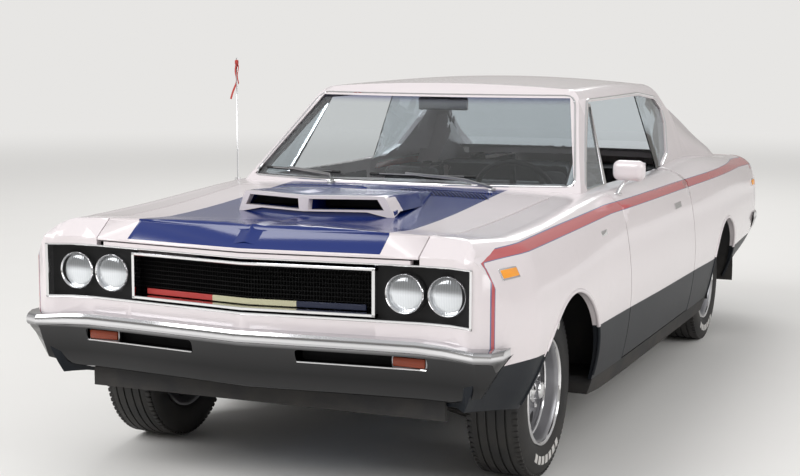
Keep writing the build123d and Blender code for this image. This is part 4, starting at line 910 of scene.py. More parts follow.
def chip(bm, place, size, edge, segments=2):
    """Block with rounded edges, centred on a matrix."""
    made = bmesh.ops.create_cube(bm, size=1.0, matrix=place @ Matrix.Diagonal((*size, 1.0)))
    edges = list({e for v in made["verts"] for e in v.link_edges})
    bmesh.ops.bevel(bm, geom=edges, offset=edge, segments=segments, affect="EDGES",
                    profile=0.5)


def closed_piece(name, bm, finish, body="root", angle=35.0):
    """Object from closed shapes of a bmesh, with faces outward."""
    bmesh.ops.remove_doubles(bm, verts=bm.verts, dist=MERGE)
    bmesh.ops.recalc_face_normals(bm, faces=bm.faces)
    return new_object(name, mesh_from(name, bm, angle), finish, body)


def chips(name, rows, finish, body="root"):
    """One object from several rounded blocks, each (matrix, size, edge)."""
    bm = bmesh.new()
    for place, size, edge in rows:
        chip(bm, place, size, edge)
    return closed_piece(name, bm, finish, body)


def here(x, y, z):
    return Matrix.Translation((x, y, z))


def mirrored(x, y, z, size, edge):
    """Rows of chips for one block on each half of the car."""
    return [(here(side * x, y, z), size, edge) for side in (-1, 1)]


# Repeated parts

def repeat_tree(name, ring):
    """Geometry Nodes that set copies of a part along a path, or round a ring."""
    tree = bpy.data.node_groups.new(name, "GeometryNodeTree")
    kinds = (("Geometry", "NodeSocketGeometry"), ("Part", "NodeSocketObject"),
             ("Count", "NodeSocketInt"), ("Size", "NodeSocketVector"), ("Turn", "NodeSocketFloat"),
             ("Radius", "NodeSocketFloat"), ("Finish", "NodeSocketMaterial"))
    for label, kind in kinds:
        tree.interface.new_socket(name=label, in_out="INPUT", socket_type=kind)
    tree.interface.new_socket(name="Geometry", in_out="OUTPUT", socket_type=kinds[0][1])
    t = Tree(tree)
    start, end = t.add("NodeGroupInput"), t.add("NodeGroupOutput")
    part = t.add("GeometryNodeObjectInfo", Object=start.outputs["Part"])
    if ring:
        line = t.add("GeometryNodeMeshCircle", Vertices=start.outputs["Count"],
                     Radius=start.outputs["Radius"])
        points = line.outputs["Mesh"]
        toward = t.add("GeometryNodeInputPosition").outputs[0]
        facing = t.add("FunctionNodeAlignRotationToVector", {"axis": "X", "pivot_axis": "Z"},
                       Vector=toward).outputs[0]
    else:
        path = t.add("GeometryNodeMeshToCurve", Mesh=start.outputs["Geometry"])
        even = t.add("GeometryNodeResampleCurve", Curve=path.outputs[0],
                     Count=start.outputs["Count"])
        points = even.outputs[0]
        tangent = t.add("GeometryNodeInputTangent").outputs[0]
        along = t.add("FunctionNodeAlignRotationToVector", {"axis": "X"}, Vector=tangent)
        lean = t.add("GeometryNodeInputNamedAttribute", {"data_type": "FLOAT_VECTOR"},
                     Name="lean")
        facing = t.add("FunctionNodeAlignRotationToVector", {"axis": "Z", "pivot_axis": "X"},
                       Rotation=along.outputs[0], Vector=lean.outputs[0]).outputs[0]
    spin = t.add("FunctionNodeAxisAngleToRotation", Axis=(0.0, 0.0, 1.0),
                 Angle=start.outputs["Turn"])
    turned = t.add("FunctionNodeRotateRotation", {"rotation_space": "LOCAL"}, Rotation=facing,
                   Rotate_By=spin.outputs[0])
    copies = t.add("GeometryNodeInstanceOnPoints", Points=points,
                   Instance=part.outputs["Geometry"], Rotation=turned.outputs[0],
                   Scale=start.outputs["Size"])
    solid = t.add("GeometryNodeRealizeInstances", Geometry=copies.outputs[0])
    done = t.add("GeometryNodeSetMaterial", Geometry=solid.outputs[0],
                 Material=start.outputs["Finish"])
    t.put(end.inputs["Geometry"], done.outputs[0])
    return tree


def path_mesh(points, leans):
    """Polyline mesh that keeps a direction at each of its points."""
    mesh = bpy.data.meshes.new("path")
    mesh.from_pydata([tuple(p) for p in points], [(i, i + 1) for i in range(len(points) - 1)], [])
    field = mesh.attributes.new("lean", "FLOAT_VECTOR", "POINT")
    for i, lean in enumerate(leans):
        field.data[i].vector = lean
    return mesh


def repeated(tree_name, base, part_mesh, finish, **values):
    """Mesh that a repeat tree makes from a part's mesh and its input values."""
    tree = bpy.data.node_groups[tree_name]
    template = linked("template", part_mesh)
    holder = linked("holder", base or bpy.data.meshes.new("empty"))
    modifier = holder.modifiers.new("repeat", "NODES")
    modifier.node_group = tree
    values = dict(values, Part=template, Finish=finish_of(finish))
    for item in tree.interface.items_tree:
        if item.in_out == "INPUT" and item.name in values:
            modifier[item.identifier] = values[item.name]
    mesh = worked_out(holder, template)
    if not mesh.polygons:
        raise ValueError("%s made nothing" % tree_name)
    return mesh


def block_mesh(edge):
    """Unit block with rounded edges."""
    bm = bmesh.new()
    chip(bm, here(0, 0, 0), (1, 1, 1), edge, 1)
    return mesh_from("block", bm)


def nut_mesh():
    """Unit six-sided nut with a chamfered end, standing on its origin."""
    bm = bmesh.new()
    for sides, low, high, depth, middle in ((6, 0.5, 0.5, 0.8, 0.4), (12, 0.42, 0.30, 0.25, 0.9)):
        bmesh.ops.create_cone(bm, cap_ends=True, segments=sides, radius1=low, radius2=high,
                              depth=depth, matrix=here(0, 0, middle))
    return mesh_from("nut", bm)


def placed(name, mesh, place, body, angle=35.0):
    """Piece of a finished mesh moved by a matrix."""
    mesh.transform(place)
    if place.determinant() < 0:
        mesh.flip_normals()
    shade(mesh, angle)
    return new_object(name, mesh, None, body)


def joined(name, meshes, finish, body, place=Matrix.Identity(4)):
    """One piece of several repeated rows."""
    bm = bmesh.new()
    for mesh in meshes:
        bm.from_mesh(mesh)
        bpy.data.meshes.remove(mesh)
    mesh = mesh_from(name, bm)
    mesh.materials.append(finish_of(finish))
    placed(name, mesh, place, body)


# Pieces

class CAR_OT_stage(bpy.types.Operator):
    """Camera, floor and studio light"""
    bl_idname = "car.stage"
    bl_label = "Stage"

    def execute(self, context):
        settings = stage_settings()
        data = bpy.data.cameras.new("camera")
        data.sensor_width = 36.0
        data.lens = data.sensor_width * settings.focal_pixels / PICTURE_WIDTH
        camera = linked("camera", data)
        camera.matrix_world = (Matrix.Translation(settings.camera_place)
                               @ Matrix.Rotation(settings.camera_heading, 4, "Z")
                               @ Matrix.Rotation(math.pi / 2 - settings.camera_dip, 4, "X")
                               @ Matrix.Rotation(settings.camera_roll, 4, "Z"))
        context.scene.camera = camera
        for name, power, size, place in LAMPS:
            self.lamp(name, getattr(settings, power), size, place)
        self.floor(settings.floor_colour)
        self.sky(context, settings.sky_strength)
        context.scene.view_settings.view_transform = "Standard"
        return {"FINISHED"}

    def lamp(self, name, power, size, place):
        """A large square lamp aimed at the car's middle."""
        data = bpy.data.lights.new(name, "AREA")
        data.energy, data.size = power, size
        aim = LAMP_AIM - Vector(place)
        linked(name, data).matrix_world = (
            Matrix.Translation(place) @ aim.to_track_quat("-Z", "Y").to_matrix().to_4x4())

    def floor(self, tint):
        """Round pale floor that fades into the background."""
        bm = bmesh.new()
        bmesh.ops.create_circle(bm, cap_ends=True, segments=96, radius=FLOOR_RADIUS)
        floor = linked("floor", mesh_from("floor", bm))
        t, shader, place = material("studio_floor", Roughness=0.6)
        noise = t.use("Surface Grain", Place=place, Scale=40.0, Depth=0.3)
        t.feed(shader, Base_Color=t.mix(t.product(noise.outputs["Shade"], 0.12),
                                        rgba(tint), rgba(c * 0.8 for c in tint)))
        glow = t.add("ShaderNodeEmission", Color=rgba(BACKGROUND), Strength=1.0)
        reach = t.add("ShaderNodeVectorMath", {"operation": "LENGTH"})
        t.put(reach.inputs[0], place)
        output = [n for n in t.tree.nodes if n.type == "OUTPUT_MATERIAL"][0]
        t.feed(output, Surface=t.mix_shader(t.ramp(reach.outputs["Value"], *FLOOR_FADE),
                                            shader.outputs[0], glow.outputs[0]))
        give(floor, "studio_floor")

    def sky(self, context, strength):
        """Soft sky that lights the car; a plain pale tone behind it."""
        world = bpy.data.worlds.new("studio")
        world.use_nodes = True
        world.node_tree.nodes.clear()
        t = Tree(world.node_tree)
        up = t.xyz(t.add("ShaderNodeTexCoord").outputs["Generated"])[2]
        tone = t.mix(t.ramp(up, -0.1, 0.75), rgba((0.62, 0.60, 0.57)), rgba((1.0, 1.0, 1.0)))
        soft = t.add("ShaderNodeBackground", Color=tone, Strength=strength)
        seen = t.add("ShaderNodeBackground", Color=rgba(BACKGROUND), Strength=1.0)
        rays = t.add("ShaderNodeLightPath")
        direct = t.math("MAXIMUM", rays.outputs["Is Camera Ray"],
                        rays.outputs["Is Transmission Ray"])
        t.add("ShaderNodeOutputWorld",
              Surface=t.mix_shader(direct, soft.outputs[0], seen.outputs[0]))
        context.scene.world = world


class CAR_OT_finishes(bpy.types.Operator):
    """All paints, metals, glass and rubber"""
    bl_idname = "car.finishes"
    bl_label = "Finishes"

    def execute(self, context):
        build_materials()
        repeat_tree("Parts Along Path", False)
        repeat_tree("Parts Round Ring", True)
        return {"FINISHED"}


class CAR_OT_panels(bpy.types.Operator):
    """Painted body panels"""
    bl_idname = "car.panels"
    bl_label = "Body panels"

    def execute(self, context):
        for node in PANELS:
            finish = {"hood": "hood_enamel", "cowl": "hood_enamel"}.get(node, "white_enamel")
            nose = node in ("front_fenders", "hood", "nose_panel")
            low = "lower_enamel" if finish == "white_enamel" else None
            smooth_copy(node, finish, 28.0, NOSE_PLANES if nose else (), shown, low)
        smooth_copy("hood_scoop", "scoop_enamel", 28.0, SCOOP_PLANES, scoop_shape)
        self.mouth_shade()
        self.hood_crease()
        self.sails()
        self.arch_lips()
        self.door_cards()
        return {"FINISHED"}

    def mouth_shade(self):
        """Dark sheets of painted shade inside the scoop's mouths, and the chin below its lip."""
        shade_sheets = mirrored(0.155, SCOOP_LIP_Y + 0.040, 1.003, (0.262, 0.004, 0.034), 0.001)
        chips("scoop_liner", shade_sheets, "mouth_black", "hood")
        bm = bmesh.new()
        plan_band(bm, ((0.0, 0.0), (SCOOP_HALF, SCOOP_BEND)), SCOOP_TIP_Y,
                  lambda x: SCOOP_CHIN, CHIN_INSET - SCOOP_HALF, SCOOP_HALF - CHIN_INSET)
        closed_piece("scoop_chin", bm, "blue_enamel", "hood")

    def hood_crease(self):
        """Raised ridge along the hood's middle, from its lip to the scoop."""
        bm = bmesh.new()
        front, rear = CREASE_ENDS
        loft(bm, [[above(("hood",), x, front + i * (rear - front) / 24)[0] + Vector((0, 0, rise))
                   for x, rise in CREASE_PROFILE] for i in range(25)], False)
        new_object("hood_crease", mesh_from("hood_crease", bm), "hood_enamel", "hood")

    def sails(self):
        """Flares that carry the rear pillars' outline back on to the deck."""
        bm = bmesh.new()
        low = SAIL_FOOT
        for side in (-1, 1):
            rows = []
            for y, top in spaced_pairs(SAIL_OUTLINE, 0.04):
                middle = low + (top - low) * 0.5
                ring = [(sail_x(z), z) for z in (low, middle, top - 0.010)]
                ring += [(sail_x(top) - 0.012, top), (sail_x(top) - 0.055, top - 0.004),
                         (sail_x(top) - 0.085, middle), (sail_x(low) - 0.120, low)]
                rows.append([(side * x, y, z) for x, z in ring])
            loft(bm, rows)
        closed_piece("rear_pillar_flares", bm, "plain_white", angle=50.0)

    def arch_lips(self):
        """Rolled lips round the wheel arches."""
        for end, y, z, radius, node in ARCHES:
            bm = bmesh.new()
            for side in (-1, 1):
                points = []
                for turn in turns_of(ARCH_TURNS, ARCH_STEPS):
                    try:
                        foot, _ = beside((node,), side, y + math.cos(turn) * radius,
                                         z + math.sin(turn) * radius)
                    except ValueError:
                        continue
                    if abs(foot.x) > ARCH_SKIN_X:
                        points.append(foot - Vector((side * 0.003, 0, 0)))
                bar(bm, points, 0.0085, 10)
            lips = closed_piece(end + "_arch_lips", bm, "white_enamel", angle=60.0)
            lower_part(lips, "lower_enamel")

    def door_cards(self):
        """Dark trim panels with arm rests on the insides of the doors."""
        middle = (DOOR_FRONT_Y + DOOR_REAR_Y) / 2
        for name, side in (("left", 1), ("right", -1)):
            rows = [(here(side * x, middle + y, z), size, edge)
                    for x, y, z, size, edge in DOOR_CARD]
            chips("door_card_" + name, rows, "seat_vinyl", "door_" + name)


def scoop_shape(point):
    """Scoop whose lip runs forward to a point in the middle."""
    x, y, z = point
    share = smooth_share(-1.46, SCOOP_LIP_Y, y)
    ahead = SCOOP_BEND * max(0.0, 1 - abs(x) / SCOOP_HALF) * share
    return Vector((x, y - ahead, z + (0.018 * share if z > 0.958 else 0.0)))


def sail_x(z):
    """Distance of a rear pillar's outer face from the middle line, at a height."""
    return 0.792 - (z - 0.900) * 0.355


def spaced_pairs(points, step):
    """Points (a, b) of a line at about equal steps."""
    return [(p.x, p.y) for p in spaced([(a, b, 0.0) for a, b in points], step)]


class CAR_OT_glass(bpy.types.Operator):
    """Windows and lamp glass"""
    bl_idname = "car.glass"
    bl_label = "Glass"

    def execute(self, context):
        for node in GLASS_NODES:
            smooth_copy(node, "windshield_glass" if node == "windshield" else "window_glass",
                        shape=shown)
        smooth_copy("tail_lamps", "red_lens")
        self.lamp_ribs()
        return {"FINISHED"}

    def lamp_ribs(self):
        """Bright ribs across the tail lamps."""
        bm = bmesh.new()
        for side in (-1, 1):
            for z in TAIL_RIBS:
                bar(bm, [skin_point(("tail_lamps",), (side * (0.52 + 0.04 * i), 2.9, z),
                                    (0, -1, 0))[0] for i in range(10)], 0.0022)
        closed_piece("tail_lamp_ribs", bm, "bright_plate")


def plan_xs(plan, x0, x1):
    """Stops across the car between two distances, with every bend of the plan."""
    bends = {side * x for x, _ in plan for side in (-1, 1) if x0 < side * x < x1}
    return sorted(bends | {x0, x1})


def both(low, high):
    """Ends of a stretch on the right and on the left half of the car, each in order."""
    return [sorted((side * low, side * high)) for side in (-1, 1)]


def plan_band(bm, plan, tip, profile_of, x0, x1):
    """Closed band that repeats a profile of (setback, z) along a front face."""
    loft(bm, [[(x, tip + along_line(plan, abs(x)) + d, z) for d, z in profile_of(abs(x))]
              for x in plan_xs(plan, x0, x1)])


def nose_band(bm, d0, d1, z0, z1, x0, x1):
    """Band of constant depth and height on the nose, with small chamfers."""
    e = min(0.002, (z1 - z0) * 0.3)
    profile = ((d0 + e, z0), (d1, z0), (d1, z1), (d0 + e, z1), (d0, z1 - e), (d0, z0 + e))
    plan_band(bm, NOSE_PLAN, NOSE_Y, lambda x: profile, x0, x1)


class CAR_OT_nose(bpy.types.Operator):
    """Grille, lamps and front bumper"""
    bl_idname = "car.nose"
    bl_label = "Nose"

    def execute(self, context):
        for make in (self.lamp_panel, self.grille, self.frames, self.headlamps, self.bumper,
                     self.slots, self.signals, self.markers):
            make()
        return {"FINISHED"}

    def lamp_panel(self):
        """Black panel round the lamps."""
        bm = bmesh.new()
        for ends in both(GRILLE_HALF, FACE_HALF + 0.004):
            nose_band(bm, 0.030, 0.050, FACE_LOW - 0.006, FACE_TOP + 0.006, *ends)
        obj = closed_piece("lamp_panel_skin", bm, "black_plastic")
        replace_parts(obj, "lamp_panel")

    def grille(self):
        """Black back with slats and fine ribs, and a coloured bar."""
        bm = bmesh.new()
        nose_band(bm, 0.078, 0.084, GRILLE_LOW, GRILLE_TOP, -GRILLE_HALF, GRILLE_HALF)
        for i in range(GRILLE_SLATS):
            z = GRILLE_LOW + (GRILLE_TOP - GRILLE_LOW) * (i + 0.5) / GRILLE_SLATS
            nose_band(bm, 0.066, 0.079, z - 0.0012, z + 0.0012, -GRILLE_HALF, GRILLE_HALF)
        obj = closed_piece("grille_slats", bm, "grille_black")
        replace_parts(obj, "grille")
        xs = plan_xs(NOSE_PLAN, -GRILLE_HALF + 0.006, GRILLE_HALF - 0.006)
        points = [(x, NOSE_Y + along_line(NOSE_PLAN, abs(x)) + 0.072,
                   (GRILLE_LOW + GRILLE_TOP) / 2) for x in xs]
        base = path_mesh(points, [(0.0, 0.0, 1.0)] * len(points))
        ribs = repeated("Parts Along Path", base, block_mesh(0.1), "grille_black",
                        Count=GRILLE_RIBS, Size=(0.0014, 0.012, GRILLE_TOP - GRILLE_LOW),
                        Turn=0.0)
        placed("grille_ribs", ribs, Matrix.Identity(4), "root")
        for name, finish, x0, x1 in GRILLE_BAR:
            bm = bmesh.new()
            nose_band(bm, 0.050, 0.058, 0.696, 0.716, x0, x1)
            closed_piece("grille_" + name, bm, finish)

    def frames(self):
        """Bright frame of the grille and bright edge of the whole panel."""
        bm = bmesh.new()
        for z in (GRILLE_LOW, GRILLE_TOP - GRILLE_FRAME):
            nose_band(bm, *FRAME_DEPTHS, z, z + GRILLE_FRAME, -GRILLE_HALF, GRILLE_HALF)
        for inner, outer in zip(both(GRILLE_HALF - GRILLE_FRAME, GRILLE_HALF),
                                both(FACE_HALF - FACE_SIDE_EDGE, FACE_HALF)):
            nose_band(bm, *FRAME_DEPTHS, GRILLE_LOW + 0.001, GRILLE_TOP - 0.001, *inner)
            nose_band(bm, *EDGE_DEPTHS, FACE_LOW, FACE_TOP, *outer)
        for low, top in ((FACE_LOW, FACE_LOW + FACE_LOW_EDGE),
                         (FACE_TOP - FACE_TOP_EDGE, FACE_TOP)):
            nose_band(bm, *EDGE_DEPTHS, low, top, -FACE_HALF, FACE_HALF)
        obj = closed_piece("nose_frames", bm, "bright_plate")
        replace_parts(obj, "grille_trim")

    def headlamps(self):
        """Four round lamps, each a bright rim, a dark cup behind it and a domed lens."""
        rims, lenses, cups = bmesh.new(), bmesh.new(), bmesh.new()
        for x in LAMP_X:
            front = NOSE_Y + along_line(NOSE_PLAN, x) + LAMP_SETBACK
            for side in (-1, 1):
                place = here(side * x, front, LAMP_Z)
                turned(rims, LAMP_RIM, place)
                turned(lenses, LAMP_LENS, place)
                turned(cups, LAMP_CUP, place)
        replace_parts(closed_piece("headlamp_rings", rims, "bright_plate"), "headlamp_rims")
        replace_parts(closed_piece("headlamp_glass", lenses, "lamp_lens", angle=40.0),
                    "headlamp_lenses")
        closed_piece("headlamp_cups", cups, "black_plastic")

    def bumper(self):
        """Bright bumper with a roll along its top and a hollow slotted face."""
        bm = bmesh.new()
        plan_band(bm, BUMPER_PLAN, BUMPER_Y, bumper_profile, -BUMPER_HALF, BUMPER_HALF)
        bmesh.ops.recalc_face_normals(bm, faces=bm.faces)
        bumper = linked("bumper_front", mesh_from("bumper_front", bm, 24.0))
        bm = bmesh.new()
        for side in (-1, 1):
            chip(bm, here(side * SLOT_CUT_X, SLOT_CUT_Y, SLOT_Z), SLOT_CUT, 0.012, 3)
        cutter = linked("slot_cutter", mesh_from("slot_cutter", bm))
        cut = bumper.modifiers.new("slots", "BOOLEAN")
        cut.operation, cut.object, cut.solver = "DIFFERENCE", cutter, "EXACT"
        obj = placed("front_bumper_bar", worked_out(bumper, cutter), Matrix.Identity(4), "root",
                     24.0)
        give(obj, "bumper_plate")
        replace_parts(obj, "front_bumper")
        smooth_copy("rear_bumper", "bumper_plate", 24.0)

    def slots(self):
        """Dark backs of painted shade behind the bumper's slots, and bright lower lips."""
        backs, lips = bmesh.new(), bmesh.new()
        for ends in both(0.200, 0.670):
            plan_band(backs, BUMPER_PLAN, BUMPER_Y, lambda x: SLOT_SHADE_BACK, *ends)
        closed_piece("slot_backs", backs, "mouth_black")
        for ends in both(0.206, 0.664):
            points = [(x, bumper_face(abs(x), 0.519) - 0.001, 0.5185)
                      for x in plan_xs(BUMPER_PLAN, *ends)]
            bar(lips, spaced(points, 0.05), 0.0032)
        closed_piece("slot_lips", lips, "bright_plate")

    def signals(self):
        """Lamps in the outer ends of the bumper's slots."""
        y = BUMPER_Y + along_line(BUMPER_PLAN, 0.61) + 0.052
        chips("signal_lenses", mirrored(SIGNAL_X, y, SLOT_Z, (0.118, 0.020, 0.034), 0.006),
              "signal_red")
        chips("signal_frames", mirrored(SIGNAL_X, y + 0.006, SLOT_Z, (0.130, 0.016, 0.043),
                                        0.004), "dull_plate")

    def markers(self):
        """Side marker lamps with bright bezels."""
        rows, bezels = [], bmesh.new()
        for node, y, z, long, high in MARKERS:
            for side in (-1, 1):
                foot, normal = beside((node,), side, y, z)
                ahead, _ = beside((node,), side, y + 0.03, z)
                place = axes(foot, ahead - foot, normal)
                rows.append((place @ here(0, 0, 0.002), (long, high, 0.008), 0.003))
                chip(bezels, place, (long + 0.012, high + 0.012, 0.006), 0.002)
        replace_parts(chips("marker_lenses", rows, "amber_lens"), "marker_lamps")
        closed_piece("marker_bezels", bezels, "bright_plate")


def bumper_profile(x):
    """Section of the front bumper, shallower towards its ends."""
    low = BUMPER_LOW + max(0.0, x - 0.830) * 1.71
    back = 0.112 if x < 0.85 else 0.112 - (x - 0.85) * 0.6
    drop = 0.016 * smooth_share(0.60, 0.93, x)
    return [(d, max(z - (drop if z > 0.55 else 0.0), low))
            for d, z in (*BUMPER_FACE, (back, BUMPER_LOW), (back, BUMPER_TOP))]


def bumper_face(x, z):
    """Lengthwise place of the bumper's face."""
    return BUMPER_Y + along_line(BUMPER_PLAN, x) + along_line(SLOT_FACE, z)


class CAR_OT_brightwork(bpy.types.Operator):
    """Window trim, drip rails, handles and other bright pieces"""
    bl_idname = "car.brightwork"
    bl_label = "Brightwork"

    def execute(self, context):
        for node in ("door_chrome_left", "door_chrome_right"):
            smooth_copy(node, "bright_plate", 24.0, shape=shown)
        smooth_copy("antenna", "bright_plate", 24.0)
        self.ribbon()
        self.wipers()
        self.mirror()
        self.side_rails()
        self.screen_trim("windshield_trim", SHIELD_OUTLINE, -1.6, 1)
        self.louvres()
        self.screen_trim("rear_glass_trim", BACKLIGHT_OUTLINE, 2.4, -1)
        self.badges()
        return {"FINISHED"}

    def ribbon(self):
        """Red ribbon tied to the antenna, hanging in two tails."""
        bm = bmesh.new()
        x, y = ANTENNA_PLACE
        for tail in RIBBON_TAILS:
            row = [(x + dx, y + dy, z) for dx, dy, z in tail]
            bar(bm, spaced(eased(row, 0.02), 0.012), 0.0010, flatten=13.0)
        chip(bm, here(x, y, 1.510), (0.016, 0.014, 0.022), 0.005)
        ribbon = closed_piece("antenna_ribbon", bm, "ribbon_red", angle=60.0)

    def wipers(self):
        """Arms that lie low across the glass, with black blades."""
        arms, blades = bmesh.new(), bmesh.new()
        for pivot, knee, tip in WIPERS:
            low, _ = above(("cowl",), pivot, -1.045)
            row = [self.on_glass(x, z, lift) for x, z, lift in
                   ((knee + 0.10, 1.034, 0.020), (knee, 1.042, 0.018),
                    ((knee + tip) / 2, 1.050, 0.016))]
            bar(arms, [low + Vector((0, 0, 0.004)), low + Vector((0, 0, 0.012)), *row], 0.0042,
                flatten=1.6)
            chip(arms, Matrix.Translation(low), (0.030, 0.030, 0.018), 0.006)
            blade = [self.on_glass(tip + (knee + 0.14 - tip) * i / 10, 1.044, 0.007)
                     for i in range(11)]
            bar(blades, blade, 0.0058)
            bar(arms, [p + Vector((0, -0.007, 0.002)) for p in blade[1:-1]], 0.0026, 6)
        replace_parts(closed_piece("wiper_arms", arms, "dull_plate"), "wipers")
        closed_piece("wiper_blades", blades, "rubber")

    def on_glass(self, x, z, lift):
        """Place a little in front of the windshield."""
        foot, _ = skin_point(("windshield", "roof", "cowl"), (x, -1.6, z), (0, 1, 0))
        return foot + Vector((0, -lift, 0))

    def louvres(self):
        """Rows of slanted louvres across the rear of the hood, with black strips of painted shade
        in the slots.
        """
        count = trim_settings().louvres
        slots, blades = [], []
        for side in (-1, 1):
            for y, long, extra in SLOT_ROWS:
                feet = [above(("hood",), side * (SLOT_START + SLOT_SPAN * i / (count - 1)), y)
                        for i in range(count)]
                # the black slot rows are painted shade in the openings; the blue rows are the
                # louvre blades
                for shift, high, wide, made, finish in (
                        (0.0, 0.0030, 0.0090, slots, "mouth_black"),
                        (0.0075, 0.0110, 0.0050, blades, "blue_enamel")):
                    base = path_mesh([p + Vector((shift, 0, 0)) for p, _ in feet],
                                     [normal for _, normal in feet])
                    made.append(repeated("Parts Along Path", base, block_mesh(0.2), finish,
                                         Count=count + extra, Size=(wide, long, high),
                                         Turn=side * SLOT_TURN))
        joined("hood_slots", slots, "mouth_black", "hood")
        joined("hood_louvres", blades, "blue_enamel", "hood")

    def mirror(self):
        """White mirror head on a bright stalk, with its glass."""
        bm = bmesh.new()
        place = here(*MIRROR_PLACE) @ Matrix.Rotation(math.radians(MIRROR_TURN), 4, "Z")
        chip(bm, place, (0.142, 0.062, 0.086), 0.0295, 6)
        head = closed_piece("mirror_head", bm, "plain_white", "door_left", 60.0)
        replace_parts(head, "door_mirror")
        bm = bmesh.new()
        foot, _ = above(("door_left",), 0.872, -0.690)
        bar(bm, eased([foot, (0.882, -0.672, foot.z + 0.030), (0.905, -0.622, 1.030)], 0.02),
            0.0075, 12)
        chip(bm, Matrix.Translation(foot), (0.030, 0.044, 0.008), 0.003)
        chip(bm, place @ here(0, 0.0302, 0), (0.122, 0.004, 0.066), 0.0018)
        closed_piece("mirror_stalk", bm, "bright_plate", "door_left")

    def side_rails(self):
        """Bright drip rails and window edges along both sides."""
        for name, outline, radius, nodes in (
                ("drip_rails", DRIP_LINE, trim_settings().drip_radius, ("roof",)),
                ("quarter_window_edges", QUARTER_LINE, 0.0045, ("roof", "quarter_panels"))):
            bm = bmesh.new()
            line = [(p.x, p.y) for p in eased([(y, z, 0.0) for y, z in outline])]
            for side in (-1, 1):
                places = [shown((0.0, y, z)) for y, z in spaced_pairs(line, 0.03)]
                bar(bm, [beside(nodes, side, p.y, p.z)[0] for p in places], radius)
            closed_piece(name, bm, "bright_plate")

    def screen_trim(self, name, outline, start, sense):
        """Bright trim round the windshield or the rear window."""
        bm = bmesh.new()
        corners = eased([(x, z, 0.0) for x, z in outline], 0.04, True)
        points = []
        for corner in spaced(corners + corners[:1], 0.04)[:-1]:
            place = shown((corner.x, 0.0, corner.y))
            points.append(skin_point(("roof", "windshield", "rear_glass"),
                                     (corner.x, start, place.z), (0, sense, 0))[0])
        bar(bm, points, trim_settings().window_radius, closed=True)
        closed_piece(name, bm, "bright_plate")

    def badges(self):
        """Blank bright badges on the front fenders."""
        rows = []
        for side in (-1, 1):
            foot, normal = beside(("front_fenders",), side, -1.130, 0.859)
            rows.append((axes(foot, (0, 1, 0), normal), (0.075, 0.022, 0.005), 0.002))
        chips("fender_badges", rows, "bright_plate")


class CAR_OT_underside(bpy.types.Operator):
    """Floor, suspension, engine and exhaust"""
    bl_idname = "car.underside"
    bl_label = "Underside"

    def execute(self, context):
        for nodes, finish in ((UNDER_NODES, "undercoat"),
                              (HINGES, "raw_steel"), (("engine",), "engine_enamel"),
                              (("exhaust",), "raw_steel")):
            for node in nodes:
                smooth_copy(node, finish, 30.0)
        self.engine_top()
        self.wheel_houses()
        return {"FINISHED"}

    def wheel_houses(self):
        """Dark half drums behind the rear arches."""
        bm = bmesh.new()
        for side in (-1, 1):
            place = (here(0.0, REAR_AXLE_Y, HUB_Z + REAR_ARCH_RISE)
                     @ Matrix.Diagonal((side, 1, 1, 1)) @ SIDEWAYS)
            loft(bm, [section(WHEEL_HOUSE, place, turn)
                      for turn in turns_of(HOUSE_TURNS, HOUSE_STEPS)])
        closed_piece("rear_wheel_houses", bm, "undercoat", angle=40.0)

    def engine_top(self):
        """Ribbed valve covers and a round air cleaner."""
        bm = bmesh.new()
        turned(bm, AIR_CLEANER, here(0.0, -1.58, 0.800) @ Matrix.Rotation(math.pi / 2, 4, "X"),
               64)
        closed_piece("air_cleaner", bm, "black_plastic", angle=40.0)
        rows = []
        for side in (-1, 1):
            rows.append((here(side * 0.168, -1.60, 0.815), (0.098, 0.54, 0.036), 0.012))
            rows += [(here(side * (0.138 + i * 0.015), -1.60, 0.8345), (0.006, 0.46, 0.008),
                      0.0015) for i in range(5)]
        chips("valve_covers", rows, "dull_plate")


